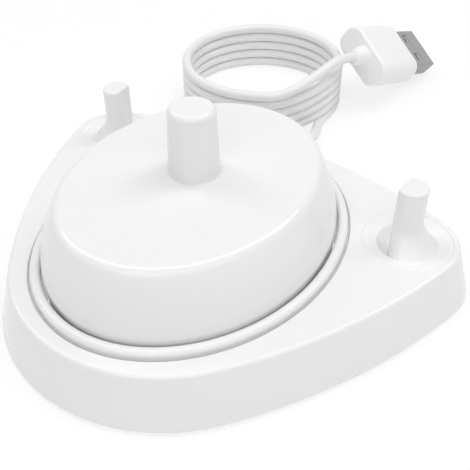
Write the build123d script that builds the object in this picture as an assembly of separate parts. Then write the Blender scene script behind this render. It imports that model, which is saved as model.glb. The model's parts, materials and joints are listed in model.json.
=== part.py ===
"""Inductive toothbrush charger standing in the collar of a brush-head stand, with its coiled USB cord.

Millimetres. The origin is on the floor under the middle of the stand, +Z is up, X runs from brush pin
to brush pin and +Y points to the back, where the cord leaves.
"""
from build123d import *
import math
import os

# Stand
STAND_HEIGHT = 10.55  # floor to the flat top
STAND_DEPTH = 70.6  # front to back along the top edge
STAND_FRONT_RADIUS = 29.0
STAND_SIDE_RADIUS = 108.0
STAND_BACK_RADIUS = 101.0
STAND_CORNER_RADIUS = 9.5  # back corners, concentric with the dished seats
STAND_WALL = 2.0
STAND_EDGE_ROUND = 0.8
SKIRT_FLARE = 3.0  # how far the skirt leans out from the top edge to its foot
SKIRT_GAP = 0.5  # skirt's lower edge above the floor
COLLAR_WALL = 1.6
COLLAR_FOOT = 2.5  # collar's lower edge above the floor
COLLAR_CLEARANCE = 0.3  # gap between charger and collar
BEAD_WIDTH = 1.9
BEAD_HEIGHT = 1.2
BEAD_LAND = 0.15  # flat left along the top of the bead
GROOVE_WIDTH = 0.4  # crease round the outside of the bead
GROOVE_DEPTH = 0.9

# Brush pins and their dished seats
PIN_SPACING = 67.2
PIN_INSET = 0.9  # pin axis from the seat's middle, inwards
PIN_SETBACK = 0.55  # pin axis from the seat's middle, towards the back
PIN_TOP = 21.9  # above the floor
PIN_ROOT_RADIUS = 2.95
PIN_TIP_RADIUS = 2.85
PIN_FLAT = 1.7  # pin axis to its flat
PIN_FLAT_TURN = 6.0  # degrees the flat turns from facing inwards towards the back
PIN_ROUND = 0.5
PIN_FLARE_RADIUS = 5.5  # foot of the flare, about the seat's middle
PIN_FLARE_HEIGHT = 4.3  # seat floor to where the flare runs into the pin
PIN_FLARE_LAP = 0.05  # how far the flare's upper end lies inside the pin
PIN_SPIGOT_RADIUS = 1.8  # stub pressed into the stand under each pin
DISH_RADIUS = 8.4
DISH_FLOOR_RADIUS = 5.6
DISH_DEPTH = 0.6
DISH_BACKING = 1.6  # plastic left under the dish floor

# Stand feet
STAND_FOOT_RADIUS = 1.6
STAND_FOOT_SEAT = 0.9  # seat boss's lower face above the floor
FRONT_FOOT_X = 28.6
FRONT_FOOT_Y = -10.0

# Charger housing
CHARGER_Y = 0.6  # middle of the oval
CHARGER_HALF_WIDTH = 24.9
CHARGER_HALF_DEPTH = 30.7
CHARGER_TOP = 23.4
CHARGER_KNUCKLE = 11.0  # height where the upright foot turns into the leaning wall
CHARGER_LEAN = 3.95  # how far the wall leans in up to the top
CHARGER_WALL = 2.0
CHARGER_EDGE_ROUND = 1.3
POST_Y = 1.3
POST_TOP = 36.2
POST_ROOT_RADIUS = 4.65
POST_TIP_RADIUS = 4.1
POST_WALL = 1.1
POST_EDGE_ROUND = 1.1
POST_ROOT_ROUND = 0.6

# Base cover, seal, feet and screws
COVER_BOTTOM = 0.8
COVER_THICKNESS = 2.6
COVER_CLEARANCE = 0.15
SEAL_DEPTH = 0.8
SEAL_HEIGHT = 1.0
FOOT_RADIUS = 3.5
FOOT_POCKET = 0.6
FIT_CLEARANCE = 0.05
BOSS_RADIUS = 2.6
BOSS_X = 13.5
BOSS_Y = 16.5  # from the middle of the oval
COVER_SCREW_RADIUS = 1.0
COVER_SCREW_LENGTH = 7.0
COVER_SCREW_HEAD_RADIUS = 1.8
COVER_SCREW_HEAD = 0.9
SCREW_CLEARANCE = 0.15
PILOT_CLEARANCE = 0.02

# Circuit board and what stands on it
BOARD_WIDTH = 22.0
BOARD_DEPTH = 34.0
BOARD_THICKNESS = 1.2
BOARD_CORNER = 2.0
STANDOFF_HEIGHT = 2.6
STANDOFF_RADIUS = 2.2
BOARD_SCREW_X = 8.2
BOARD_SCREW_Y = 13.6  # from the middle of the board
BOARD_SCREW_RADIUS = 0.75
BOARD_SCREW_LENGTH = 3.0
BOARD_SCREW_HEAD_RADIUS = 1.7
BOARD_SCREW_HEAD = 1.1
CORE_RADIUS = 1.6
BOBBIN_WALL = 0.5
BOBBIN_FOOT_RADIUS = 4.5
BOBBIN_FLANGE = 0.8
BOBBIN_TIP_GAP = 1.6  # bobbin's upper end to the inside of the post's tip
WINDING_DEPTH = 0.6
WINDING_LENGTH = 8.0
LEAD_WIRE_RADIUS = 0.2
LEAD_WIRE_SPREAD = 6.6  # bobbin axis to the solder pad
FILM_CAPACITOR = (10.0, 4.6, 7.5)
FILM_CAPACITOR_CORNER = 0.5
FILM_CAPACITOR_PLACE = (3.8, -12.0)  # places are from the middle of the board
CAN_PLACE = (-6.2, -6.6)
INDUCTOR_PLACE = (6.6, -5.2)
DRIVER_PLACE = (-5.6, 9.6)
SMALL_CHIP_ROWS = ((5.2, 5.4), (2.2, 6.6))
SMALL_CHIPS_PER_ROW = 3
CAN_RADIUS = 3.15
CAN_HEIGHT = 9.0
CAN_EDGE_ROUND = 0.4
INDUCTOR_RADIUS = 3.5
INDUCTOR_HEIGHT = 5.0
INDUCTOR_FLANGE = 1.0
INDUCTOR_WAIST_RADIUS = 3.0
CHIP_SIZE = (5.0, 3.9, 1.5)
CHIP_LEG = (0.45, 1.0, 0.2)
CHIP_LEG_PITCH = 1.27
CHIP_LEGS_PER_SIDE = 4
SMALL_CHIP = (2.0, 1.25, 0.6)
SMALL_CHIP_PITCH = 2.1

# Cord, gland and conductors
CORD_DIAMETER = 2.4
CORD_HEIGHT = 6.0  # gland axis above the floor
GLAND_HOLE_RADIUS = 1.75
GLAND_FLANGE_RADIUS = 2.3
GLAND_FLANGE = 1.5
GLAND_SEAT_GAP = 0.2  # flat flange to the curved inside of the wall
GLAND_ROOT_RADIUS = 2.1
GLAND_TIP_RADIUS = 1.5
GLAND_END_Y = 41.5
NOTCH_RADIUS = 3.0
CONDUCTOR_RADIUS = 0.45
CONDUCTOR_SPREAD = 0.6
CONDUCTOR_PAD_X = 2.2
CONDUCTOR_PAD_INSET = 2.4  # board's rear edge to the solder pads
COIL_X = -25.4
COIL_Y = 66.9
COIL_RADIUS = 19.8  # to the middle of the cord
COIL_LAYERS = 5
COIL_PITCH = 2.45
COIL_FIRST_LAYER_SWEEP = 305.0  # degrees of the lowest layer before it climbs clear of the lead
COIL_LAST_LAYER_SWEEP = 300.0  # degrees of the highest layer before the tail leaves it
TAIL_FIRST_RUN = 4.0
TAIL_LAST_RUN = 5.0
FLOOR_GAP = 0.05  # cord and plug stay this far above the floor
BEND_SHARE = 0.45  # share of the shorter run that a bend of the cord takes up

# Plug: a standard 12.0 by 4.5 mm metal shell in a short overmould
SHELL_WIDTH = 12.0
SHELL_THICKNESS = 4.5
SHELL_SHEET = 0.3
SHELL_EXPOSED = 12.0
SHELL_BURIED = 8.0
WINDOW_WIDTH = 2.5
WINDOW_LENGTH = 2.25
WINDOW_SPACING = 6.2
WINDOW_FROM_TIP = 6.3  # window's middle to the shell's open end
OVERMOULD_WIDTH = 16.2
OVERMOULD_THICKNESS = 7.7
OVERMOULD_LENGTH = 17.4
OVERMOULD_CORNER = 3.1
OVERMOULD_EDGE = 0.7
RELIEF_LENGTH = 4.0
RELIEF_ROOT_RADIUS = 2.7
RELIEF_TIP_RADIUS = 1.9
TONGUE_THICKNESS = 1.84
TONGUE_SETBACK = 0.6
TONGUE_SIDE_GAP = 0.3
CONTACT_WIDTH = 1.2
CONTACT_THICKNESS = 0.2
CONTACT_LENGTH = 7.4
CONTACT_PLACES = (-3.5, -1.0, 1.0, 3.5)
PLUG_REAR_X = -2.4
PLUG_REAR_Y = 77.8
PLUG_HEADING = 79.0  # degrees from +X, seen from above
PLUG_DIP = 16.6  # degrees the plug points down, its tip on the floor
PLUG_ROLL = 33.4

# Places worked out from the sizes above
PIN_X = PIN_SPACING / 2
SEAT_X = PIN_X + PIN_INSET
BACK_CENTRE_Y = STAND_DEPTH / 2 - STAND_BACK_RADIUS
SEAT_Y = BACK_CENTRE_Y + math.sqrt((STAND_BACK_RADIUS - STAND_CORNER_RADIUS) ** 2 - SEAT_X**2)
PIN_Y = SEAT_Y + PIN_SETBACK
FRONT_CENTRE_Y = STAND_FRONT_RADIUS - STAND_DEPTH / 2
COLLAR_HALF_WIDTH = CHARGER_HALF_WIDTH + COLLAR_CLEARANCE
COLLAR_HALF_DEPTH = CHARGER_HALF_DEPTH + COLLAR_CLEARANCE
COVER_TOP = COVER_BOTTOM + COVER_THICKNESS
CAVITY_TOP = CHARGER_TOP - CHARGER_WALL
INNER_HALF_WIDTH = CHARGER_HALF_WIDTH - CHARGER_WALL
INNER_HALF_DEPTH = CHARGER_HALF_DEPTH - CHARGER_WALL
COVER_HALF_WIDTH = INNER_HALF_WIDTH - COVER_CLEARANCE
COVER_HALF_DEPTH = INNER_HALF_DEPTH - COVER_CLEARANCE
SEAL_BOTTOM = COVER_BOTTOM + (COVER_THICKNESS - SEAL_HEIGHT) / 2
SCREW_SEAT = COVER_BOTTOM + FOOT_POCKET + COVER_SCREW_HEAD
BOARD_BOTTOM = COVER_TOP + STANDOFF_HEIGHT
BOARD_TOP = BOARD_BOTTOM + BOARD_THICKNESS
BOBBIN_TOP = POST_TOP - POST_WALL - BOBBIN_TIP_GAP
BOBBIN_RADIUS = CORE_RADIUS + BOBBIN_WALL
WINDING_TOP = BOBBIN_TOP - BOBBIN_FLANGE
WINDING_BOTTOM = WINDING_TOP - WINDING_LENGTH
CORD_RADIUS = CORD_DIAMETER / 2
CORD_FLOOR_Z = CORD_RADIUS + FLOOR_GAP
CHARGER_BACK = CHARGER_Y + CHARGER_HALF_DEPTH
CHARGER_INNER_BACK = CHARGER_Y + INNER_HALF_DEPTH
BOSS_PLACES = [(sx * BOSS_X, CHARGER_Y + sy * BOSS_Y) for sx in (-1, 1) for sy in (-1, 1)]
BOARD_SCREW_PLACES = [(s * BOARD_SCREW_X, CHARGER_Y + s * BOARD_SCREW_Y) for s in (-1, 1)]
STAND_FOOT_PLACES = [
    (sign * x, y) for sign in (-1, 1) for x, y in ((SEAT_X, SEAT_Y), (FRONT_FOOT_X, FRONT_FOOT_Y))
]


def unit(v):
    return v / v.length


def rod(x, y, bottom, top, radius, tip_radius=None):
    """Upright round rod, or a cone when the tip has its own radius."""
    solid = Cone(radius, tip_radius, top - bottom) if tip_radius else Cylinder(radius, top - bottom)
    return Pos(x, y, (bottom + top) / 2) * solid


def block(x, y, bottom, size):
    """Upright box standing at a height."""
    return Pos(x, y, bottom + size[2] / 2) * Box(*size)


def oval(half_width, half_depth, z):
    """Face of an oval about the middle of the charger."""
    return Pos(0, CHARGER_Y, z) * Ellipse(half_width, half_depth)


def oval_slab(half_width, half_depth, bottom, top):
    return extrude(oval(half_width, half_depth, bottom), amount=top - bottom)


def pick_outline(grow, z):
    """Face of the stand's rounded-triangle outline, grown outwards from its top edge.

    A side circle holds the front circle and a corner circle inside it and touches both, and the back
    circle does the same with the two corners, so the arcs join without a kink.
    """
    front = Vector(0, FRONT_CENTRE_Y)
    corner = Vector(SEAT_X, SEAT_Y)
    back = Vector(0, BACK_CENTRE_Y)
    reach_front = STAND_SIDE_RADIUS - STAND_FRONT_RADIUS
    reach_corner = STAND_SIDE_RADIUS - STAND_CORNER_RADIUS
    span = corner - front
    along = (reach_front**2 - reach_corner**2 + span.length**2) / (2 * span.length)
    aside = math.sqrt(reach_front**2 - along**2)
    left = Vector(-span.Y, span.X) / span.length
    side = front + unit(span) * along + left * aside
    way_front = unit(front - side)
    way_corner = unit(corner - side)
    way_back = unit(corner - back)
    front_end = front + way_front * (STAND_FRONT_RADIUS + grow)
    side_middle = side + unit(way_front + way_corner) * (STAND_SIDE_RADIUS + grow)
    side_end = corner + way_corner * (STAND_CORNER_RADIUS + grow)
    corner_middle = corner + unit(way_corner + way_back) * (STAND_CORNER_RADIUS + grow)
    corner_end = corner + way_back * (STAND_CORNER_RADIUS + grow)
    front_middle = Vector(0, -STAND_DEPTH / 2 - grow)
    back_middle = Vector(0, STAND_DEPTH / 2 + grow)

    def across(v):
        return Vector(-v.X, v.Y)

    arcs = [
        (across(front_end), front_middle, front_end),
        (front_end, side_middle, side_end),
        (side_end, corner_middle, corner_end),
        (corner_end, back_middle, across(corner_end)),
        (across(corner_end), across(corner_middle), across(side_end)),
        (across(side_end), across(side_middle), across(front_end)),
    ]
    return Pos(0, 0, z) * make_face([ThreePointArc(*points) for points in arcs])


def flare_at(z):
    """How far the skirt's outside stands out from the top edge at a height."""
    return SKIRT_FLARE * (STAND_HEIGHT - z) / (STAND_HEIGHT - SKIRT_GAP)


def lean_at(z):
    """How far the charger's wall has leaned in at a height."""
    return CHARGER_LEAN * max(0.0, z - CHARGER_KNUCKLE) / (CHARGER_TOP - CHARGER_KNUCKLE)


def charger_block(inset, bottom, top):
    """Solid of the charger's oval body, inset by a wall."""
    half_width = CHARGER_HALF_WIDTH - inset
    half_depth = CHARGER_HALF_DEPTH - inset
    foot = oval_slab(half_width, half_depth, bottom, CHARGER_KNUCKLE)
    lean = lean_at(top)
    wall = loft(
        [
            oval(half_width, half_depth, CHARGER_KNUCKLE),
            oval(half_width - lean, half_depth - lean, top),
        ],
        ruled=True,
    )
    return foot + wall


def tube(points, radius, corner_radii):
    """Round wire along straight runs joined by tangent arcs."""
    path = FilletPolyline(*points, radius=corner_radii)
    section = Plane(origin=path @ 0, z_dir=path % 0) * Circle(radius)
    return sweep(section, path=path)


def cord_radii(points):
    """Bend radius at each inner point: as large as the shorter of its two runs allows."""
    radii = []
    for before, here, after in zip(points, points[1:], points[2:]):
        come = Vector(here) - Vector(before)
        go = Vector(after) - Vector(here)
        half_turn = math.radians(come.get_angle(go)) / 2
        radii.append(BEND_SHARE * min(come.length, go.length) / math.tan(half_turn))
    return radii


def cord_tube(name, points):
    radii = cord_radii(points)
    solid = tube(points, CORD_RADIUS, radii)
    length = FilletPolyline(*points, radius=radii).length
    print(name, "length", round(length, 2), "bend radii", [round(r, 1) for r in radii])
    print(name, "volume over section times length", round(solid.volume / (math.pi * CORD_RADIUS**2 * length), 5))
    return solid


def brush_pin():
    """D-section pin about the Z axis with a flared root, on a stub that fits the stand.

    The flare runs out to a circle about the seat's middle. The pin's flat cuts the flare too.
    """
    root = STAND_HEIGHT - DISH_DEPTH
    reach = 2 * PIN_FLARE_RADIUS
    flat = Rot(Z=-PIN_FLAT_TURN) * Pos(-PIN_FLAT - reach, 0, PIN_TOP / 2) * Box(2 * reach, 2 * reach, 2 * PIN_TOP)
    pin = rod(0, 0, root, PIN_TOP, PIN_ROOT_RADIUS, PIN_TIP_RADIUS) - flat
    pin = fillet(pin.faces().sort_by(Axis.Z)[-1].edges(), PIN_ROUND)
    foot = Pos(PIN_INSET, -PIN_SETBACK, root) * Circle(PIN_FLARE_RADIUS)
    neck = Pos(0, 0, root + PIN_FLARE_HEIGHT) * Circle(PIN_TIP_RADIUS - PIN_FLARE_LAP)
    pin += loft([foot, neck], ruled=True) - flat
    return pin + rod(0, 0, root - DISH_BACKING, root, PIN_SPIGOT_RADIUS)


def brush_pins():
    right = Pos(PIN_X, PIN_Y) * brush_pin()
    return Compound([right, mirror(right, Plane.YZ)])


def dish():
    """Round seat to cut from the stand's top: a flat floor with a sloping side."""
    return rod(0, 0, STAND_HEIGHT - DISH_DEPTH, STAND_HEIGHT, DISH_FLOOR_RADIUS, DISH_RADIUS)


def stand_shell():
    under_top = STAND_HEIGHT - STAND_WALL
    outside = loft([pick_outline(SKIRT_FLARE, SKIRT_GAP), pick_outline(0, STAND_HEIGHT)], ruled=True)
    outside = fillet(outside.faces().sort_by(Axis.Z)[-1].edges(), STAND_EDGE_ROUND)
    inside = loft(
        [
            pick_outline(SKIRT_FLARE - STAND_WALL, SKIRT_GAP),
            pick_outline(flare_at(under_top) - STAND_WALL, under_top),
        ],
        ruled=True,
    )
    shell = outside - inside
    shell += oval_slab(COLLAR_HALF_WIDTH + COLLAR_WALL, COLLAR_HALF_DEPTH + COLLAR_WALL, COLLAR_FOOT, under_top)
    backing_bottom = STAND_HEIGHT - DISH_DEPTH - DISH_BACKING
    for sign in (-1, 1):
        shell += rod(sign * SEAT_X, SEAT_Y, backing_bottom, under_top, DISH_RADIUS)
    for x, y in STAND_FOOT_PLACES:
        shell += rod(x, y, STAND_FOOT_SEAT, under_top, STAND_FOOT_RADIUS + COLLAR_WALL / 2)
        shell -= rod(x, y, 0, STAND_FOOT_SEAT + SKIRT_GAP, STAND_FOOT_RADIUS)
    bead_half_width = COLLAR_HALF_WIDTH + BEAD_WIDTH
    bead_half_depth = COLLAR_HALF_DEPTH + BEAD_WIDTH
    groove_bottom = STAND_HEIGHT - GROOVE_DEPTH
    shell -= oval_slab(
        bead_half_width + GROOVE_WIDTH, bead_half_depth + GROOVE_WIDTH, groove_bottom, STAND_HEIGHT
    ) - oval_slab(bead_half_width, bead_half_depth, groove_bottom, STAND_HEIGHT)
    bead_top = STAND_HEIGHT + BEAD_HEIGHT
    bead = oval_slab(bead_half_width, bead_half_depth, groove_bottom, bead_top)
    bead -= oval_slab(COLLAR_HALF_WIDTH, COLLAR_HALF_DEPTH, groove_bottom, bead_top)
    bead = fillet(bead.faces().sort_by(Axis.Z)[-1].edges(), (BEAD_WIDTH - BEAD_LAND) / 2)
    shell -= oval_slab(COLLAR_HALF_WIDTH, COLLAR_HALF_DEPTH, 0, STAND_HEIGHT)
    shell += bead
    for sign in (-1, 1):
        shell -= Pos(sign * SEAT_X, SEAT_Y) * dish()
        shell -= rod(sign * PIN_X, PIN_Y, backing_bottom, STAND_HEIGHT, PIN_SPIGOT_RADIUS + PILOT_CLEARANCE)
    notch_length = STAND_DEPTH / 2 + SKIRT_FLARE
    notch_middle = CHARGER_Y + CHARGER_HALF_DEPTH + notch_length / 2
    shell -= Pos(0, notch_middle, CORD_HEIGHT) * Rot(X=90) * Cylinder(NOTCH_RADIUS, notch_length)
    shell -= block(0, notch_middle, 0, (2 * NOTCH_RADIUS, notch_length, CORD_HEIGHT))
    return shell


def charger_housing():
    body = fillet(
        charger_block(0, COVER_BOTTOM, CHARGER_TOP).faces().sort_by(Axis.Z)[-1].edges(), CHARGER_EDGE_ROUND
    )
    body -= charger_block(CHARGER_WALL, COVER_BOTTOM, CAVITY_TOP)
    post = rod(0, POST_Y, CHARGER_TOP, POST_TOP, POST_ROOT_RADIUS, POST_TIP_RADIUS)
    post = fillet(post.faces().sort_by(Axis.Z)[-1].edges(), POST_EDGE_ROUND)
    body += post
    root = body.edges().filter_by(GeomType.CIRCLE).sort_by(lambda e: abs(e.center().Z - CHARGER_TOP))[0]
    body = fillet(root, POST_ROOT_ROUND)
    for x, y in BOSS_PLACES:
        body += rod(x, y, COVER_TOP, CAVITY_TOP, BOSS_RADIUS)
        body -= rod(x, y, COVER_TOP, SCREW_SEAT + COVER_SCREW_LENGTH, COVER_SCREW_RADIUS + PILOT_CLEARANCE)
    body -= rod(
        0, POST_Y, CAVITY_TOP, POST_TOP - POST_WALL, POST_ROOT_RADIUS - POST_WALL, POST_TIP_RADIUS - POST_WALL
    )
    hole_length = 2 * CHARGER_WALL
    hole_middle = CHARGER_BACK - CHARGER_WALL / 2
    body -= Pos(0, hole_middle, CORD_HEIGHT) * Rot(X=90) * Cylinder(GLAND_HOLE_RADIUS, hole_length)
    return body


def charger_base_cover():
    cover = oval_slab(COVER_HALF_WIDTH, COVER_HALF_DEPTH, COVER_BOTTOM, COVER_TOP)
    cover -= oval_slab(
        INNER_HALF_WIDTH, INNER_HALF_DEPTH, SEAL_BOTTOM, SEAL_BOTTOM + SEAL_HEIGHT
    ) - oval_slab(
        COVER_HALF_WIDTH - SEAL_DEPTH, COVER_HALF_DEPTH - SEAL_DEPTH, SEAL_BOTTOM, SEAL_BOTTOM + SEAL_HEIGHT
    )
    for x, y in BOSS_PLACES:
        cover -= rod(x, y, COVER_BOTTOM, COVER_BOTTOM + FOOT_POCKET, FOOT_RADIUS + FIT_CLEARANCE)
        cover -= rod(x, y, COVER_BOTTOM, SCREW_SEAT, COVER_SCREW_HEAD_RADIUS + SCREW_CLEARANCE)
        cover -= rod(x, y, COVER_BOTTOM, COVER_TOP, COVER_SCREW_RADIUS + SCREW_CLEARANCE)
    for x, y in BOARD_SCREW_PLACES:
        cover += rod(x, y, COVER_TOP, BOARD_BOTTOM, STANDOFF_RADIUS)
        cover -= rod(x, y, BOARD_TOP - BOARD_SCREW_LENGTH, BOARD_BOTTOM, BOARD_SCREW_RADIUS + PILOT_CLEARANCE)
    return cover


def base_seal():
    top = SEAL_BOTTOM + SEAL_HEIGHT
    ring = oval_slab(INNER_HALF_WIDTH, INNER_HALF_DEPTH, SEAL_BOTTOM, top)
    return ring - oval_slab(COVER_HALF_WIDTH - SEAL_DEPTH, COVER_HALF_DEPTH - SEAL_DEPTH, SEAL_BOTTOM, top)


def cover_screws():
    screws = []
    for x, y in BOSS_PLACES:
        head = rod(x, y, SCREW_SEAT - COVER_SCREW_HEAD, SCREW_SEAT, COVER_SCREW_HEAD_RADIUS)
        screws.append(head + rod(x, y, SCREW_SEAT, SCREW_SEAT + COVER_SCREW_LENGTH, COVER_SCREW_RADIUS))
    return Compound(screws)


def charger_feet():
    return Compound([rod(x, y, 0, COVER_BOTTOM + FOOT_POCKET, FOOT_RADIUS) for x, y in BOSS_PLACES])


def stand_feet():
    top = STAND_FOOT_SEAT + SKIRT_GAP
    return Compound([rod(x, y, 0, top, STAND_FOOT_RADIUS - FIT_CLEARANCE) for x, y in STAND_FOOT_PLACES])


def circuit_board():
    board = block(0, CHARGER_Y, BOARD_BOTTOM, (BOARD_WIDTH, BOARD_DEPTH, BOARD_THICKNESS))
    board = fillet(board.edges().filter_by(Axis.Z), BOARD_CORNER)
    for x, y in BOARD_SCREW_PLACES:
        board -= rod(x, y, BOARD_BOTTOM, BOARD_TOP, BOARD_SCREW_RADIUS + SCREW_CLEARANCE)
    return board


def board_screws():
    screws = []
    for x, y in BOARD_SCREW_PLACES:
        shank = rod(x, y, BOARD_TOP - BOARD_SCREW_LENGTH, BOARD_TOP, BOARD_SCREW_RADIUS)
        screws.append(shank + rod(x, y, BOARD_TOP, BOARD_TOP + BOARD_SCREW_HEAD, BOARD_SCREW_HEAD_RADIUS))
    return Compound(screws)


def coil_bobbin():
    bobbin = rod(0, POST_Y, BOARD_TOP, BOBBIN_TOP, BOBBIN_RADIUS)
    bobbin += rod(0, POST_Y, BOARD_TOP, BOARD_TOP + BOBBIN_FLANGE, BOBBIN_FOOT_RADIUS)
    for bottom in (WINDING_BOTTOM - BOBBIN_FLANGE, WINDING_TOP):
        bobbin += rod(0, POST_Y, bottom, bottom + BOBBIN_FLANGE, BOBBIN_RADIUS + WINDING_DEPTH)
    return bobbin - rod(0, POST_Y, BOARD_TOP + BOBBIN_FLANGE, BOBBIN_TOP, CORE_RADIUS)


def ferrite_core():
    return rod(0, POST_Y, BOARD_TOP + BOBBIN_FLANGE, BOBBIN_TOP, CORE_RADIUS)


def coil_winding():
    ring = rod(0, POST_Y, WINDING_BOTTOM, WINDING_TOP, BOBBIN_RADIUS + WINDING_DEPTH)
    return ring - rod(0, POST_Y, WINDING_BOTTOM, WINDING_TOP, BOBBIN_RADIUS)


def coil_leads():
    """Two wires from the winding's lower flange down the bobbin and out to the board."""
    near = BOBBIN_RADIUS + LEAD_WIRE_RADIUS + FIT_CLEARANCE
    start = WINDING_BOTTOM - BOBBIN_FLANGE
    bend = BOARD_TOP + 2 * BOBBIN_FLANGE
    wires = []
    for sign in (-1, 1):
        points = [
            (sign * near, POST_Y, start),
            (sign * near, POST_Y, bend + LEAD_WIRE_SPREAD - near),
            (sign * LEAD_WIRE_SPREAD, POST_Y, bend),
            (sign * LEAD_WIRE_SPREAD, POST_Y, BOARD_TOP),
        ]
        wires.append(tube(points, LEAD_WIRE_RADIUS, 4 * LEAD_WIRE_RADIUS))
    return Compound(wires)


def resonance_capacitor():
    x, y = FILM_CAPACITOR_PLACE
    box = block(x, CHARGER_Y + y, BOARD_TOP, FILM_CAPACITOR)
    return fillet(box.edges().filter_by(Axis.Z), FILM_CAPACITOR_CORNER)


def smoothing_capacitor():
    x, y = CAN_PLACE
    can = rod(x, CHARGER_Y + y, BOARD_TOP, BOARD_TOP + CAN_HEIGHT, CAN_RADIUS)
    return fillet(can.faces().sort_by(Axis.Z)[-1].edges(), CAN_EDGE_ROUND)


def filter_inductor():
    """Drum core: two flanges with the winding between them."""
    x, y = INDUCTOR_PLACE[0], CHARGER_Y + INDUCTOR_PLACE[1]
    drum = rod(x, y, BOARD_TOP, BOARD_TOP + INDUCTOR_HEIGHT, INDUCTOR_RADIUS)
    waist_bottom = BOARD_TOP + INDUCTOR_FLANGE
    waist_top = BOARD_TOP + INDUCTOR_HEIGHT - INDUCTOR_FLANGE
    waist = rod(x, y, waist_bottom, waist_top, INDUCTOR_RADIUS)
    return drum - (waist - rod(x, y, waist_bottom, waist_top, INDUCTOR_WAIST_RADIUS))


def driver_chip():
    x, y = DRIVER_PLACE[0], CHARGER_Y + DRIVER_PLACE[1]
    lift = CHIP_LEG[2]
    chip = block(x, y, BOARD_TOP + lift, CHIP_SIZE)
    reach = (CHIP_SIZE[1] + CHIP_LEG[1]) / 2
    for row in (-1, 1):
        for place in range(CHIP_LEGS_PER_SIDE):
            leg_x = x + (place - (CHIP_LEGS_PER_SIDE - 1) / 2) * CHIP_LEG_PITCH
            chip += block(leg_x, y + row * reach, BOARD_TOP, CHIP_LEG)
            inner = (CHIP_LEG[0], CHIP_LEG[1] / 2, 2 * lift)
            chip += block(leg_x, y + row * (CHIP_SIZE[1] / 2 - inner[1] / 4), BOARD_TOP, inner)
    return chip


def chip_components():
    chips = []
    for x, first in SMALL_CHIP_ROWS:
        for step in range(SMALL_CHIPS_PER_ROW):
            y = CHARGER_Y + first + step * SMALL_CHIP_PITCH
            chips.append(block(x, y, BOARD_TOP, SMALL_CHIP))
    return Compound(chips)


def cord_conductors():
    """Two wires from the gland's inner end up onto the board's rear edge."""
    start_y = CHARGER_INNER_BACK - GLAND_FLANGE
    pad_y = CHARGER_Y + BOARD_DEPTH / 2 - CONDUCTOR_PAD_INSET
    hump = BOARD_TOP + STANDOFF_HEIGHT
    drop_y = (start_y + pad_y) / 2 - CONDUCTOR_PAD_INSET / 2
    wires = []
    for sign in (-1, 1):
        points = [
            (sign * CONDUCTOR_SPREAD, start_y, CORD_HEIGHT),
            (sign * CONDUCTOR_SPREAD, start_y - GLAND_FLANGE * 2, CORD_HEIGHT),
            (sign * (CONDUCTOR_SPREAD + CONDUCTOR_PAD_X) / 2, drop_y, hump),
            (sign * CONDUCTOR_PAD_X, pad_y, hump + CONDUCTOR_RADIUS),
            (sign * CONDUCTOR_PAD_X, pad_y, BOARD_TOP),
        ]
        wires.append(tube(points, CONDUCTOR_RADIUS, 2 * CONDUCTOR_RADIUS))
    return Compound(wires)


def cord_gland():
    """Stepped and tapered strain relief held in the hole of the charger's rear wall."""

    def ring(start, end, radius, tip_radius=None):
        solid = Cone(radius, tip_radius, end - start) if tip_radius else Cylinder(radius, end - start)
        return Pos(0, (start + end) / 2, CORD_HEIGHT) * Rot(X=-90) * solid

    inner_end = CHARGER_INNER_BACK - GLAND_FLANGE
    flange_end = CHARGER_INNER_BACK - GLAND_SEAT_GAP
    gland = ring(inner_end, flange_end, GLAND_FLANGE_RADIUS)
    gland += ring(flange_end, CHARGER_BACK, GLAND_HOLE_RADIUS - FIT_CLEARANCE)
    return gland + ring(CHARGER_BACK, GLAND_END_Y, GLAND_ROOT_RADIUS, GLAND_TIP_RADIUS)


def plug_frame():
    """Plane at the overmould's rear: Z along the plug, X across its broad face."""
    heading = math.radians(PLUG_HEADING)
    dip = math.radians(PLUG_DIP)
    roll = math.radians(PLUG_ROLL)
    ahead = Vector(math.cos(heading) * math.cos(dip), math.sin(heading) * math.cos(dip), -math.sin(dip))
    level = Vector(math.sin(heading), -math.cos(heading), 0)
    upward = level.cross(ahead)
    across = level * math.cos(roll) - upward * math.sin(roll)
    reach = OVERMOULD_LENGTH + SHELL_EXPOSED
    corner_drop = SHELL_WIDTH / 2 * math.sin(roll) + SHELL_THICKNESS / 2 * math.cos(roll)
    rear_z = FLOOR_GAP + reach * math.sin(dip) + corner_drop * math.cos(dip)
    return Plane(origin=(PLUG_REAR_X, PLUG_REAR_Y, rear_z), x_dir=across, z_dir=ahead)


PLUG = plug_frame()
SHELL_START = OVERMOULD_LENGTH - SHELL_BURIED
SHELL_END = OVERMOULD_LENGTH + SHELL_EXPOSED


def along_plug(x, y, start, size):
    """Box in the plug's own frame, starting at a distance from its rear."""
    return Pos(x, y, start + size[2] / 2) * Box(*size)


def plug_body():
    grip = extrude(RectangleRounded(OVERMOULD_WIDTH, OVERMOULD_THICKNESS, OVERMOULD_CORNER), OVERMOULD_LENGTH)
    ends = grip.faces().sort_by(Axis.Z)
    grip = fillet(ends[0].edges() + ends[-1].edges(), OVERMOULD_EDGE)
    relief = Pos(0, 0, -RELIEF_LENGTH / 2) * Cone(RELIEF_TIP_RADIUS, RELIEF_ROOT_RADIUS, RELIEF_LENGTH)
    grip += relief
    grip -= along_plug(0, 0, SHELL_START, (SHELL_WIDTH, SHELL_THICKNESS, SHELL_BURIED))
    return PLUG * grip


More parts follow.
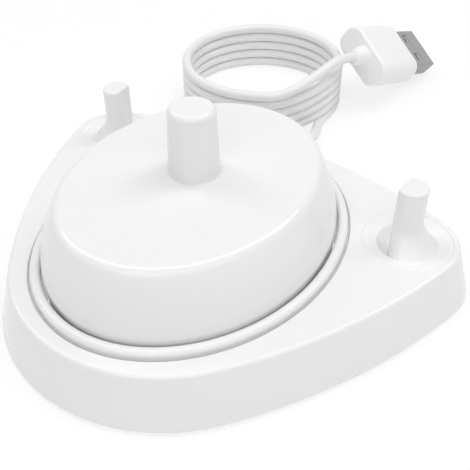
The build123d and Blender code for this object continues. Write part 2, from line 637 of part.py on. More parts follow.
def plug_shell():
    length = SHELL_END - SHELL_START
    shell = along_plug(0, 0, SHELL_START, (SHELL_WIDTH, SHELL_THICKNESS, length))
    shell = fillet(shell.edges().filter_by(Axis.Z), SHELL_SHEET)
    hollow = (SHELL_WIDTH - 2 * SHELL_SHEET, SHELL_THICKNESS - 2 * SHELL_SHEET, length)
    shell -= along_plug(0, 0, SHELL_START, hollow)
    for sign in (-1, 1):
        middle = SHELL_END - WINDOW_FROM_TIP
        window = (WINDOW_WIDTH, 2 * SHELL_THICKNESS, WINDOW_LENGTH)
        shell -= along_plug(sign * WINDOW_SPACING / 2, 0, middle - WINDOW_LENGTH / 2, window)
    return PLUG * shell


def tongue_face():
    """Height of the tongue's free face in the plug's own frame."""
    return SHELL_THICKNESS / 2 - SHELL_SHEET - TONGUE_THICKNESS


def plug_insert():
    """Block at the shell's rear with the tongue that carries the contacts."""
    width = SHELL_WIDTH - 2 * SHELL_SHEET
    rear = (width, SHELL_THICKNESS - 2 * SHELL_SHEET, SHELL_BURIED)
    insert = along_plug(0, 0, SHELL_START, rear)
    tongue = (width - 2 * TONGUE_SIDE_GAP, TONGUE_THICKNESS, SHELL_EXPOSED - TONGUE_SETBACK)
    insert += along_plug(0, tongue_face() + TONGUE_THICKNESS / 2, OVERMOULD_LENGTH, tongue)
    return PLUG * insert


def plug_contacts():
    strips = []
    size = (CONTACT_WIDTH, CONTACT_THICKNESS, CONTACT_LENGTH)
    for x in CONTACT_PLACES:
        strips.append(PLUG * along_plug(x, tongue_face() - CONTACT_THICKNESS / 2, OVERMOULD_LENGTH, size))
    return Compound(strips)


# Cord route. The lead runs from the gland down to the floor and into the coil's lowest layer, and the
# tail leaves the coil's highest layer and rises over it into the plug's strain relief.
COIL_START = (COIL_X + COIL_RADIUS, COIL_Y, CORD_FLOOR_Z)
LEAD_POINTS = [
    (0.0, GLAND_END_Y, CORD_HEIGHT),
    (0.0, 46.5, CORD_HEIGHT),
    (-1.3, 51.6, 4.3),
    (-3.3, 56.3, 1.8),
    (COIL_START[0], 61.9, CORD_FLOOR_Z),
    COIL_START,
]
LAST_ANGLE = math.radians(COIL_LAST_LAYER_SWEEP)
COIL_TOP_Z = CORD_FLOOR_Z + (COIL_LAYERS - 1) * COIL_PITCH
COIL_END = Vector(
    COIL_X + COIL_RADIUS * math.cos(LAST_ANGLE), COIL_Y + COIL_RADIUS * math.sin(LAST_ANGLE), COIL_TOP_Z
)
COIL_END_WAY = Vector(-math.sin(LAST_ANGLE), math.cos(LAST_ANGLE), 0)
PLUG_ENTRY = PLUG.origin - PLUG.z_dir * RELIEF_LENGTH
TAIL_POINTS = [
    tuple(COIL_END),
    tuple(COIL_END + COIL_END_WAY * TAIL_FIRST_RUN),
    (-8.7, 55.6, 12.4),
    (-6.6, 60.3, 14.1),
    (-5.1, 64.8, 15.5),
    tuple(PLUG_ENTRY - PLUG.z_dir * TAIL_LAST_RUN),
    tuple(PLUG_ENTRY),
]


def cord_coil():
    """Stacked turns as one ring, with its lowest and highest layers open where the cord joins them."""

    def layers(first, count, sweep_angle):
        size = CORD_DIAMETER
        height = (count - 1) * COIL_PITCH + size
        bottom = CORD_FLOOR_Z + first * COIL_PITCH - CORD_RADIUS
        section = Pos(COIL_RADIUS, bottom + height / 2) * Rectangle(size, height)
        return Pos(COIL_X, COIL_Y) * revolve(Plane.XZ * section, Axis.Z, sweep_angle)

    middle = layers(1, COIL_LAYERS - 2, 360)
    touch = (COIL_PITCH - CORD_DIAMETER) / 2
    lowest = layers(0, 1, COIL_FIRST_LAYER_SWEEP)
    highest = layers(COIL_LAYERS - 1, 1, COIL_LAST_LAYER_SWEEP)
    bridge_low = Pos(0, 0, touch * 2) * lowest
    bridge_high = Pos(0, 0, -touch * 2) * highest
    return middle + lowest + bridge_low + highest + bridge_high


NODES = {
    "charger_housing": charger_housing(),
    "charger_base_cover": charger_base_cover(),
    "base_seal": base_seal(),
    "cover_screws": cover_screws(),
    "charger_feet": charger_feet(),
    "circuit_board": circuit_board(),
    "board_screws": board_screws(),
    "coil_bobbin": coil_bobbin(),
    "ferrite_core": ferrite_core(),
    "coil_winding": coil_winding(),
    "coil_leads": coil_leads(),
    "resonance_capacitor": resonance_capacitor(),
    "smoothing_capacitor": smoothing_capacitor(),
    "filter_inductor": filter_inductor(),
    "driver_chip": driver_chip(),
    "chip_components": chip_components(),
    "cord_conductors": cord_conductors(),
    "cord_gland": cord_gland(),
    "stand_shell": stand_shell(),
    "brush_pins": brush_pins(),
    "stand_feet": stand_feet(),
    "cord_lead": cord_tube("cord_lead", LEAD_POINTS),
    "cord_coil": cord_coil(),
    "cord_tail": cord_tube("cord_tail", TAIL_POINTS),
    "plug_body": plug_body(),
    "plug_shell": plug_shell(),
    "plug_insert": plug_insert(),
    "plug_contacts": plug_contacts(),
}

os.makedirs("parts", exist_ok=True)
for name, shape in NODES.items():
    export_step(shape, f"parts/{name}.step")
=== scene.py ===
"""Looks of a toothbrush charger standing in its brush-head stand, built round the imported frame.

Metres, in the frame's axes: the origin is on the floor under the middle of the stand, +Z is up, X runs
from brush pin to brush pin and +Y points to the back, where the cord leaves. Sizes of new pieces are
written in millimetres and turned into metres when their mesh is made.
"""
import json
import math

import bmesh
import bpy
import numpy as np
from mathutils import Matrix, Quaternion, Vector
from mathutils.geometry import delaunay_2d_cdt


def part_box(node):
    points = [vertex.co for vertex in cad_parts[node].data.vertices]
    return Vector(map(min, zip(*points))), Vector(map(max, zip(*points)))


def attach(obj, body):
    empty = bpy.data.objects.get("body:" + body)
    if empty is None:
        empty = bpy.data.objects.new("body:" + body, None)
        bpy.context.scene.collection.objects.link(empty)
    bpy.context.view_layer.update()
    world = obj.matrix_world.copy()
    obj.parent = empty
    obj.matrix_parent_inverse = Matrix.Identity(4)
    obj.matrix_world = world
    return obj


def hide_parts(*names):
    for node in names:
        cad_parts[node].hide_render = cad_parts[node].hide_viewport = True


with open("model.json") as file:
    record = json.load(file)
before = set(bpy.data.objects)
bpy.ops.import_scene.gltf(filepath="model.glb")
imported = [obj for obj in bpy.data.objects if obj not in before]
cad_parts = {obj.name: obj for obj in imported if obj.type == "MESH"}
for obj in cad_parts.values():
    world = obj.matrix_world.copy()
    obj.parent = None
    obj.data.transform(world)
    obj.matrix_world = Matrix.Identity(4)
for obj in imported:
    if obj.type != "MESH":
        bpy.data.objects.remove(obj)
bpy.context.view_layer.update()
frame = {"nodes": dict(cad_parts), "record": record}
scene = bpy.context.scene
MM = 0.001

# Camera
LOOK_AT = (0.25, 13.84, 0.0)
CAMERA_AZIMUTH = 33.05
CAMERA_ELEVATION = 39.78
CAMERA_ROLL = -0.30
CAMERA_DISTANCE = 146.4
CAMERA_LENS = 53.84  # on a 36 mm sensor

# Cord, with the route's points as the part has them
CORD_DIAMETER = 2.4
CORD_FLOOR = 1.25  # height of its axis where it lies on the floor
LEAD_POINTS = [
    (0.0, 41.5, 6.0),
    (0.0, 46.5, 6.0),
    (-1.3, 51.6, 4.3),
    (-3.3, 56.3, 1.8),
    (-5.6, 61.9, 1.25),
]
TAIL_POINTS = [
    (-12.036, 51.753, 11.05),
    (-8.7, 55.6, 12.4),
    (-6.6, 60.3, 14.1),
    (-5.1, 64.8, 15.5),
    (-4.046, 69.334, 15.986),
    (-3.131, 74.037, 14.557),
]
COIL_CENTRE = (-25.4, 66.9)
COIL_RADIUS = 19.8
COIL_LAYERS = 5
COIL_PITCH = 2.45  # from layer to layer
COIL_CLIMB = 300.0  # degrees of a turn that lie flat before it climbs to the next layer
COIL_STEP = 15.0  # degrees between the points of a turn

# Stand
STAND_HEIGHT = 10.55
STAND_DEPTH = 70.6
FRONT_RADIUS = 29.0
SIDE_RADIUS = 108.0
BACK_RADIUS = 101.0
CORNER_RADIUS = 9.5
SKIRT_FLARE = 3.0  # how far the skirt leans out down to its foot
SKIRT_GAP = 0.5  # under the skirt's lower edge
STAND_WALL = 2.0
STAND_EDGE = 0.8
LIP_EDGE = 0.35  # round of the skirt's and the collar's lower edges
COLLAR_WALL = 1.6
COLLAR_FOOT = 2.5
COLLAR_CLEARANCE = 0.3
BEAD_WIDTH = 1.9
BEAD_HEIGHT = 1.2
BEAD_ROUND = 0.875
GROOVE_WIDTH = 0.45
GROOVE_DEPTH = 1.0
NOTCH_RADIUS = 3.0
NOTCH_SPRING = 6.0  # height where the cord arch starts to curve
NOTCH_RISE = 2.5
NOTCH_JUMP = 0.02  # half the width over which the arch's sides come down
NO_NOTCH = -1.0  # height of the arch where there is none, below the floor
SEAT_X = 34.5
SEAT_RADIUS = 8.4
SEAT_FLOOR_RADIUS = 5.6
SEAT_DEPTH = 0.6
SEAT_RIM = (0.5, 0.34)  # width and depth of the crease round a seat
SEAT_POCKET = (3.9, 2.2)  # radius of the bottom and further depth of the pocket beside a pin's flat
SEAT_POCKET_ROUND = 1.6
SEAT_BACKING = 7.2  # height of the boss face under a seat
FOOT_RADIUS = 1.6
FOOT_SEAT = 0.9  # height of the bosses' lower faces
FRONT_FOOT = (28.6, -10.0)

# Brush pins
PIN_INSET = 0.9  # pin's axis from the seat's middle, inwards
PIN_SETBACK = 0.55  # the same, towards the back
PIN_TOP = 21.9
PIN_ROOT_RADIUS = 2.95
PIN_TIP_RADIUS = 2.85
PIN_FLAT = 1.7  # pin's axis to its flat
PIN_FLAT_TURN = 6.0  # degrees that the flat turns from facing inwards towards the back
PIN_CORNER = 0.55  # round between the flat and the round side
PIN_ROUND = 0.5
PIN_FLARE_RADIUS = 6.1
PIN_FLARE_DROP = 1.2  # the flare starts this far below the seat's floor
PIN_FLARE_HEIGHT = 6.1
PIN_FLARE_BEND = 1.5  # 1 is a straight cone, more is hollower
PIN_FLARE_SPAN = (75.0, 125.0)  # degrees from the pin's round side over which the flare dies out
PIN_SINK = 0.05  # pin's foot below the bottom of the pocket
PIN_SPIGOT_RADIUS = 1.8
PIN_SPIGOT_EDGE = 0.02

# Charger
CHARGER_Y = 0.6  # middle of the oval
CHARGER_HALF = (24.9, 30.7)
CHARGER_TOP = 23.4
CHARGER_KNUCKLE = 12.2  # height of its widest line
CHARGER_TUCK = (0.25, 9.5)  # how far the wall turns in below that line, and down to which height
CHARGER_LEAN = 3.95  # how far the wall leans in up to the top
CHARGER_WALL = 2.0
CHARGER_EDGE = 1.9
CHARGER_BELLY = (1.3, 26.0)  # the middle of the wall stands out this far, rounded to this radius
CHARGER_BEND = 2.0  # round at the widest line
CHARGER_TUCK_ROUND = 1.5
CHARGER_FOOT = 0.8
CHARGER_FOOT_ROUND = 0.4
CHARGER_TOP_RUN = 2.5  # flat run of the wall's section on the top
CEILING_ROUND = 0.6
CEILING_RUN = 1.5
POST_Y = 1.3
POST_TOP = 36.2
POST_ROOT_RADIUS = 4.65
POST_TIP_RADIUS = 4.1
POST_WALL = 1.1
POST_EDGE = 1.1
POST_ROOT_ROUND = 0.6
POST_ROOT_RUN = 1.5
POST_HOLLOW_ROUND = 0.4
SCREW_BOSS = (13.5, 16.5)
SCREW_BOSS_RADIUS = 2.6
SCREW_BOSS_FOOT = 3.4
SCREW_BOSS_SINK = 0.3  # how far a boss reaches into the ceiling
SCREW_PILOT_RADIUS = 1.02
SCREW_PILOT_TOP = 9.3

# Strain relief at the charger, about the cord's axis
GLAND_HEIGHT = 6.0
GLAND_START = 30.2
GLAND_WALL = 31.3
GLAND_END = 41.5
GLAND_RADII = (2.1, 1.5)  # at the charger's wall and at the tip
GLAND_RIBS = 5
GLAND_RIB_DEPTH = 0.32
GLAND_RIB_FLAT = 1.6  # 1 is a plain wave, more has flatter ribs and steeper sides
GLAND_LIP = 0.2
GLAND_SKIN = 0.05  # least thickness over the cord

# Plug, in its own frame: across its broad face, down through it, and ahead along it
PLUG_REAR = np.array([-2.4, 77.8, 13.4146])
PLUG_ACROSS = np.array([0.7895, -0.31367, -0.52754])
PLUG_DOWN = np.array([-0.58588, -0.12909, -0.80005])
PLUG_AHEAD = np.array([0.18286, 0.94072, -0.28569])
OVERMOULD = (16.2, 7.7, 17.4)  # width, depth and length
OVERMOULD_CORNER = 3.1
OVERMOULD_EDGE = 0.7
RELIEF_LENGTH = 4.0
RELIEF_RADII = (2.6, 1.85)  # at the overmould and at the tip
RELIEF_ROUND = 0.405
RELIEF_RUN = 0.45
RELIEF_EDGE = 0.35
SHELL = (12.0, 4.5)  # width and depth
SHELL_CORNER = 0.5
SHELL_SHEET = 0.3
SHELL_EDGE = 0.06
SHELL_START = 9.4
SHELL_END = 29.4
WINDOW = (2.5, 2.25)  # across and along
WINDOW_SPACING = 6.2
WINDOW_FROM_TIP = 6.3

# Pieces on the circuit board, for the patterns and edges of their finishes
CHIP_BODY_DEPTH = 3.9
DRUM_FLANGE = 1.0
DRUM_WIRE_PITCH = 0.35
COIL_WIRE_PITCH = 0.25
SMALL_CHIP_LENGTH = 2.0
SMALL_CHIP_CAP = 0.4
CAN_SCORE = (0.08, 0.2)  # half widths of the cross on the can's top, at its bottom and at its rim
TRACK_WIDTH = 0.13
TRACK_LENGTH = 3.4
TRACK_PITCH = 1.15
TRACK_OFFSET = 0.37  # share of a track's length that each row lies aside from the last
DOTS_PER_MM = 0.32
DOT_EDGE = (0.13, 0.1)  # outer and inner edge of a dot, as shares of the dots' spacing

# Small rounds, and flat runs at the ends of sections, where a flat sheet takes over
FINE_ROUND = 0.1
INNER_ROUND = 0.15
SMALL_ROUND = 0.2
SOFT_ROUND = 0.3
SHORT_RUN = 0.2
SEAT_RUN = 0.3
EDGE_RUN = 0.75

# Colours that no slot of the record has
TIN = (0.78, 0.78, 0.76)
LAMINATE = (0.62, 0.55, 0.34)
BLACK_SHEATH = (0.025, 0.025, 0.027)

# Moulded finishes: share of the slot's colour, mottle, roughness and its spread, grain and its depth
MOULDED = {
    "white_gloss": (0.95, 0.015, 0.1, 0.04, 0.5, 0.0004),
    "white_satin": (0.97, 0.04, 0.5, 0.12, 0.22, 0.012),
    "bobbin_black": (1.1, 0.3, 0.45, 0.12, 0.3, 0.008),
    "film_yellow": (1.0, 0.08, 0.28, 0.1, 0.6, 0.01),
    "cord_white": (0.95, 0.03, 0.36, 0.08, 0.35, 0.004),
    "plug_white": (1.0, 0.02, 0.4, 0.08, 0.2, 0.003),
    "insert_white": (1.0, 0.05, 0.45, 0.1, 0.25, 0.004),
}

# Brushed finishes: share of the slot's colour, roughness and depth of the marks
BRUSHED = {
    "plug_steel": (0.56, 0.22, 0.003),
    "contact_gold": (1.0, 0.18, 0.002),
}

# Floor and light
ROOM = 0.34  # even light from all round
SOFTBOXES = (  # azimuth and elevation in degrees, watts, width and length of each
    (268, 62, 1.17, 0.22, 0.66),
    (148, 65, 1.55, 0.22, 0.6),
    (20, 38, 1.0, 0.5, 0.5),
    (70, 38, 0.42, 0.4, 0.4),
)
LAMP_DISTANCE = 0.65
FLOOR_HALF = 3.0
FLOOR_BOUNCE = 0.95  # share of the light that the floor gives back
FLOOR_GLOW = 0.75  # share of the floor seen by the camera that is plain white
SEEN_RAYS = ("Is Camera Ray", "Is Glossy Ray", "Is Transmission Ray")

# Worked out from the sizes above
BACK_CENTRE = np.array([0.0, STAND_DEPTH / 2 - BACK_RADIUS])
FRONT_CENTRE = np.array([0.0, FRONT_RADIUS - STAND_DEPTH / 2])
SEAT_Y = BACK_CENTRE[1] + math.sqrt((BACK_RADIUS - CORNER_RADIUS) ** 2 - SEAT_X**2)
SEAT_FLOOR = STAND_HEIGHT - SEAT_DEPTH
PIN_X = SEAT_X - PIN_INSET
PIN_Y = SEAT_Y + PIN_SETBACK
UNDER_TOP = STAND_HEIGHT - STAND_WALL
COLLAR_HALF = tuple(half + COLLAR_CLEARANCE for half in CHARGER_HALF)
CEILING = CHARGER_TOP - CHARGER_WALL
COLOURS = {row["slot"]: row["base_color"] for row in frame["record"]["materials"]}

# Mesh
TURNS = 96  # steps round an upright axis
OVAL_TURNS = 240
OUTLINE_STEPS = 36  # points along each of the stand's front, side and corner arcs
BACK_STEPS = 30
NOTCH_STEPS = 9
GLAND_STEPS = 121
ARC_STEPS = 8  # steps along a rounded corner of a profile
MERGE = 0.0005  # points closer than this are one
SHARP_ANGLE = 38.0  # degrees


def towards(azimuth, elevation):
    """Unit way from the object to a viewer or lamp. Azimuth 0 is in front, at -Y, and 90 at the right."""
    a, e = math.radians(azimuth), math.radians(elevation)
    return Vector((math.sin(a) * math.cos(e), -math.cos(a) * math.cos(e), math.sin(e)))


def add_camera():
    """Camera that looks down at the object from the front right."""
    back = towards(CAMERA_AZIMUTH, CAMERA_ELEVATION)
    camera = bpy.data.objects.new("camera", bpy.data.cameras.new("camera"))
    camera.data.lens = CAMERA_LENS
    camera.data.clip_start = MM
    camera.location = (Vector(LOOK_AT) + back * CAMERA_DISTANCE) * MM
    camera.rotation_mode = "QUATERNION"
    roll = Quaternion((0, 0, 1), math.radians(CAMERA_ROLL))
    camera.rotation_quaternion = (-back).to_track_quat("-Z", "Y") @ roll
    scene.collection.objects.link(camera)
    scene.camera = camera


def coil_points():
    """Turns of the coil: a circle by angle, flat for most of each turn and then climbing one layer.

    The points stand outside the circle by 1 / cos(half a step), so that the spline through the middles
    of their runs lies on it.
    """
    last = (COIL_LAYERS - 1) * 360.0 + COIL_CLIMB
    angle = np.arange(0.0, last + COIL_STEP / 2, COIL_STEP)
    turn = np.floor(angle / 360.0)
    climb = np.clip((angle - turn * 360.0 - COIL_CLIMB) / (360.0 - COIL_CLIMB), 0.0, 1.0)
    climb = climb * climb * (3 - 2 * climb) * (turn < COIL_LAYERS - 1)
    way = np.radians(angle)
    radius = COIL_RADIUS / math.cos(math.radians(COIL_STEP / 2))
    x = COIL_CENTRE[0] + radius * np.cos(way)
    y = COIL_CENTRE[1] + radius * np.sin(way)
    return np.stack([x, y, CORD_FLOOR + (turn + climb) * COIL_PITCH], 1)


def add_cord():
    """One smooth spline from the gland through the coil to the plug, with a round section."""
    points = np.concatenate([LEAD_POINTS, coil_points(), TAIL_POINTS]) * MM
    curve = bpy.data.curves.new("usb_cord", "CURVE")
    curve.dimensions = "3D"
    curve.bevel_depth = 1.0  # each point's radius sets the thickness
    curve.bevel_resolution = 6
    curve.resolution_u = 5
    curve.use_fill_caps = True
    spline = curve.splines.new("NURBS")
    spline.points.add(len(points) - 1)
    spline.points.foreach_set("co", np.hstack([points, np.ones((len(points), 1))]).ravel())
    spline.points.foreach_set("radius", np.full(len(points), CORD_DIAMETER / 2 * MM))
    spline.order_u = 3
    spline.use_endpoint_u = True
    spline.use_smooth = True
    cord = bpy.data.objects.new("usb_cord", curve)
    scene.collection.objects.link(cord)
    return cord


class Shape:
    """Mesh under construction, from grids of points and flat sheets in millimetres.

    Points that meet are merged when it is built, so that patches close at their seams.
    """

    def __init__(self):
        self.points = []
        self.faces = []
        self.count = 0

    def add(self, points, faces):
        """Adds points, and faces that number their corners from the first of them."""
        self.points.append(np.reshape(points, (-1, 3)))
        self.faces += [[int(corner) + self.count for corner in face] for face in faces]
        self.count += len(self.points[-1])

    def grid(self, points, keep=None):
        """Quads between neighbouring rows and columns, with the last column joined to the first."""
        rows, columns = points.shape[:2]
        here = np.arange(rows * columns).reshape(rows, columns)
        after = np.roll(here, -1, 1)
        quads = np.stack([here[:-1], after[:-1], after[1:], here[1:]], -1)
        self.add(points, quads.reshape(-1, 4) if keep is None else quads[keep])
        return points

    def sheet(self, height, *loops):
        """Flat sheet at a height, between the first loop and the loops inside it.

        A triangle is kept when a ray along +x from its middle crosses the loops an odd number of times.
        """
        near = np.concatenate(loops)[:, :2]
        number = np.split(np.arange(len(near)), np.cumsum([len(loop) for loop in loops[:-1]]))
        after = np.concatenate([np.roll(run, -1) for run in number])
        edges = np.stack([np.arange(len(near)), after], 1).tolist()
        whole_hull = 0
        points, _, faces, *_ = delaunay_2d_cdt([Vector(p) for p in near], edges, [], whole_hull, MERGE)
        points, faces = np.array(points), np.array(faces)
        x, y = points[faces].mean(1).T[..., None]
        far = near[after]
        spans = (near[:, 1] > y) != (far[:, 1] > y)
        share = (y - near[:, 1]) / np.where(spans, far[:, 1] - near[:, 1], 1.0)
        crossed = spans & (x < near[:, 0] + share * (far[:, 0] - near[:, 0]))
        kept = faces[crossed.sum(1) % 2 == 1]
        self.add(np.column_stack([points, np.full(len(points), height)]), kept)

    def build(self, name):
        """Object of one merged mesh, with its faces outwards and its sharp edges marked."""
        mesh = bpy.data.meshes.new(name)
        mesh.from_pydata((np.concatenate(self.points) * MM).tolist(), [], self.faces)
        work = bmesh.new()
        work.from_mesh(mesh)
        bmesh.ops.remove_doubles(work, verts=work.verts, dist=MERGE * MM)
        bmesh.ops.dissolve_degenerate(work, edges=work.edges, dist=MERGE * MM)
        bmesh.ops.recalc_face_normals(work, faces=work.faces)
        work.to_mesh(mesh)
        work.free()
        mesh.shade_smooth()
        mesh.set_sharp_from_angle(angle=math.radians(SHARP_ANGLE))
        piece = bpy.data.objects.new(name, mesh)
        scene.collection.objects.link(piece)
        return piece


def rounded(*corners):
    """Profile through (across, height, radius) corners, with an arc at each corner that has a radius.

    With unit ways u and v from a corner to its neighbours and b half the angle between them, the arc's
    centre is r / sin b along u + v, and it starts and ends r / tan b along u and v.
    """
    points = np.array([corner[:2] for corner in corners])
    runs = [points[:1]]
    share = np.linspace(0, 1, ARC_STEPS + 1)[:, None]
    for before, here, after, (_, _, radius) in zip(points, points[1:], points[2:], corners[1:]):
        u = (before - here) / np.linalg.norm(before - here)
        v = (after - here) / np.linalg.norm(after - here)
        half = math.acos(np.clip(u @ v, -1, 1)) / 2
        centre = here + (u + v) / np.linalg.norm(u + v) * radius / math.sin(half)
        first = here + u * radius / math.tan(half) - centre
        last = here + v * radius / math.tan(half) - centre
        sweep = math.pi - 2 * half
        turned = np.sin((1 - share) * sweep) * first + np.sin(share * sweep) * last
        runs.append(centre + turned / math.sin(sweep))
    return np.concatenate(runs + [points[-1:]])


def round_axis(profile, x, y):
    """Profile of (radius, height) turned about an upright axis: x + r cos t, y + r sin t, height."""
    t = np.linspace(0, 2 * np.pi, TURNS, endpoint=False)
    radius, height = profile[:, :1], profile[:, 1:]
    return np.stack(np.broadcast_arrays(x + radius * np.cos(t), y + radius * np.sin(t), height), -1)


def oval_angles(half_width):
    """Even steps round an oval, with two close together at each side of the cord notch."""
    even = np.linspace(0, 2 * np.pi, OVAL_TURNS, endpoint=False)
    edge = np.arccos((NOTCH_RADIUS + np.array([-NOTCH_JUMP, NOTCH_JUMP])) / half_width)
    return np.sort(np.concatenate([even, edge, np.pi - edge]))


def round_oval(profile, half):
    """Profile of (outset, height) carried round an oval: (a + outset) cos t, (b + outset) sin t, height."""
    t = oval_angles(half[0])
    outset, height = profile[:, :1], profile[:, 1:]
    x = (half[0] + outset) * np.cos(t)
    y = CHARGER_Y + (half[1] + outset) * np.sin(t)
    return np.stack(np.broadcast_arrays(x, y, height), -1)


def notch_floor(x, y):
    """Height of the cord arch at the back: spring + rise sqrt(1 - (x / r)^2) inside r, and none outside."""
    inside = (np.abs(x) < NOTCH_RADIUS) & (y > 0)
    rise = np.sqrt(np.clip(1 - (x / NOTCH_RADIUS) ** 2, 0, 1))
    return np.where(inside, NOTCH_SPRING + NOTCH_RISE * rise, NO_NOTCH)


def stand_outline():
    """Top edge of the stand by its outward normal's angle f: centre + radius (cos f, sin f).

    Four arcs make the right half, from the front round a side and a corner to the back, which is split
    at the cord notch. Each meets the next with the same normal, because a circle's centre lies on the
    line from the next one's centre to where they touch. The left half is the mirror image.
    """
    corner = np.array([SEAT_X, SEAT_Y])
    span = corner - FRONT_CENTRE
    gap = np.linalg.norm(span)
    reach = SIDE_RADIUS - FRONT_RADIUS
    along = (reach**2 - (SIDE_RADIUS - CORNER_RADIUS) ** 2 + gap**2) / (2 * gap)
    aside = math.sqrt(reach**2 - along**2)
    side = FRONT_CENTRE + span / gap * along + np.array([-span[1], span[0]]) / gap * aside
    front_end = math.atan2(*(FRONT_CENTRE - side)[::-1])
    side_end = math.atan2(*(corner - side)[::-1])
    corner_end = math.atan2(*(corner - BACK_CENTRE)[::-1])
    notch = np.arccos((NOTCH_RADIUS + np.array([NOTCH_JUMP, -NOTCH_JUMP])) / BACK_RADIUS)
    arcs = [
        (FRONT_CENTRE, FRONT_RADIUS, np.linspace(-np.pi / 2, front_end, OUTLINE_STEPS)),
        (side, SIDE_RADIUS, np.linspace(front_end, side_end, OUTLINE_STEPS)),
        (corner, CORNER_RADIUS, np.linspace(side_end, corner_end, OUTLINE_STEPS)),
        (BACK_CENTRE, BACK_RADIUS, np.linspace(corner_end, notch[0], BACK_STEPS)),
        (BACK_CENTRE, BACK_RADIUS, np.linspace(notch[1], np.pi / 2, NOTCH_STEPS)),
    ]
    normals = [np.stack([np.cos(f), np.sin(f)], 1) for _, _, f in arcs]
    edges = [centre + radius * normal for (centre, radius, _), normal in zip(arcs, normals)]
    half = np.hstack([np.concatenate(edges), np.concatenate(normals)])
    whole = np.concatenate([half, half[-2:0:-1] * (-1, 1, -1, 1)])
    return whole[:, :2], whole[:, 2:]


def flare_at(z):
    """How far the skirt leans out at a height."""
    return SKIRT_FLARE * (STAND_HEIGHT - z) / (STAND_HEIGHT - SKIRT_GAP)


def round_stand(profile):
    """Section of (outset, height) carried round the outline: edge + outset normal, height.

    Over the cord notch the height is lifted to the arch, along the skirt's slope.
    """
    edge, normal = stand_outline()
    outset, height = profile[:, :1], profile[:, 1:]
    lifted = np.maximum(height, notch_floor(edge[:, 0], edge[:, 1]))
    outset = outset + flare_at(lifted) - flare_at(height)
    flat = edge + outset[..., None] * normal
    return np.concatenate([flat, lifted[..., None]], -1)


def stand_moulding():
    """Skirt, top and collar of the stand as one closed skin, with the bosses of its feet.

    The rear bosses hang from the underside, below the seats, and are part of the skin. The front bosses
    are closed shapes of their own that reach into the top.
    """
    shape = Shape()
    inner = flare_at(UNDER_TOP) - STAND_WALL
    skirt = shape.grid(
        round_stand(
            rounded(
                (-EDGE_RUN, STAND_HEIGHT, 0),
                (0, STAND_HEIGHT, STAND_EDGE),
                (SKIRT_FLARE, SKIRT_GAP, LIP_EDGE),
                (SKIRT_FLARE - STAND_WALL, SKIRT_GAP, LIP_EDGE),
                (inner, UNDER_TOP, INNER_ROUND),
                (inner - SHORT_RUN, UNDER_TOP, 0),
            )
        )
    )
    groove = BEAD_WIDTH + GROOVE_WIDTH
    bead_top = STAND_HEIGHT + BEAD_HEIGHT
    ring = round_oval(
        rounded(
            (groove + SHORT_RUN, STAND_HEIGHT, 0),
            (groove, STAND_HEIGHT, FINE_ROUND),
            (groove, STAND_HEIGHT - GROOVE_DEPTH, FINE_ROUND),
            (BEAD_WIDTH, STAND_HEIGHT - GROOVE_DEPTH, FINE_ROUND),
            (BEAD_WIDTH, bead_top, BEAD_ROUND),
            (0, bead_top, BEAD_ROUND),
            (0, COLLAR_FOOT, LIP_EDGE),
            (COLLAR_WALL, COLLAR_FOOT, LIP_EDGE),
            (COLLAR_WALL, UNDER_TOP, INNER_ROUND),
            (COLLAR_WALL + SHORT_RUN, UNDER_TOP, 0),
        ),
        COLLAR_HALF,
    )
    arch = notch_floor(COLLAR_HALF[0] * np.cos(oval_angles(COLLAR_HALF[0])), ring[0, :, 1])
    ring[..., 2] = np.maximum(ring[..., 2], arch)
    shape.grid(ring)
    rim_width, rim_depth = SEAT_RIM
    pocket_radius, pocket_depth = SEAT_POCKET
    pocket = SEAT_FLOOR - pocket_depth
    seat = rounded(
        (SEAT_RADIUS + SEAT_RUN, STAND_HEIGHT, 0),
        (SEAT_RADIUS, STAND_HEIGHT, INNER_ROUND),
        (SEAT_RADIUS - rim_width / 2, STAND_HEIGHT - rim_depth, FINE_ROUND),
        (SEAT_RADIUS - rim_width, STAND_HEIGHT - rim_depth / 5, SMALL_ROUND),
        (SEAT_FLOOR_RADIUS, SEAT_FLOOR, SOFT_ROUND),
        (pocket_radius, pocket, SEAT_POCKET_ROUND),
        (0, pocket, 0),
    )
    seats = [shape.grid(round_axis(seat, sign * SEAT_X, SEAT_Y)) for sign in (-1, 1)]
    shape.sheet(STAND_HEIGHT, skirt[0], ring[0], seats[0][0], seats[1][0])
    buried = UNDER_TOP + STAND_WALL / 4
    boss = FOOT_RADIUS + COLLAR_WALL / 2
    socket = FOOT_SEAT + SKIRT_GAP
    foot = [
        (boss, FOOT_SEAT, SMALL_ROUND),
        (FOOT_RADIUS, FOOT_SEAT, FINE_ROUND),
        (FOOT_RADIUS, socket, FINE_ROUND),
        (0, socket, 0),
    ]
    front = rounded((0, buried, 0), (boss, buried, FINE_ROUND), *foot)
    pad = SEAT_RADIUS - STAND_WALL
    rear = rounded(
        (pad + SHORT_RUN, UNDER_TOP, 0),
        (pad, UNDER_TOP, INNER_ROUND),
        (pad, SEAT_BACKING, SOFT_ROUND),
        (boss, SEAT_BACKING, SOFT_ROUND),
        *foot,
    )
    rears = [shape.grid(round_axis(rear, sign * SEAT_X, SEAT_Y)) for sign in (-1, 1)]
    shape.sheet(UNDER_TOP, skirt[-1], ring[-1], rears[0][0], rears[1][0])
    for sign in (-1, 1):
        shape.grid(round_axis(front, sign * FRONT_FOOT[0], FRONT_FOOT[1]))
    return shape.build("stand_moulding")


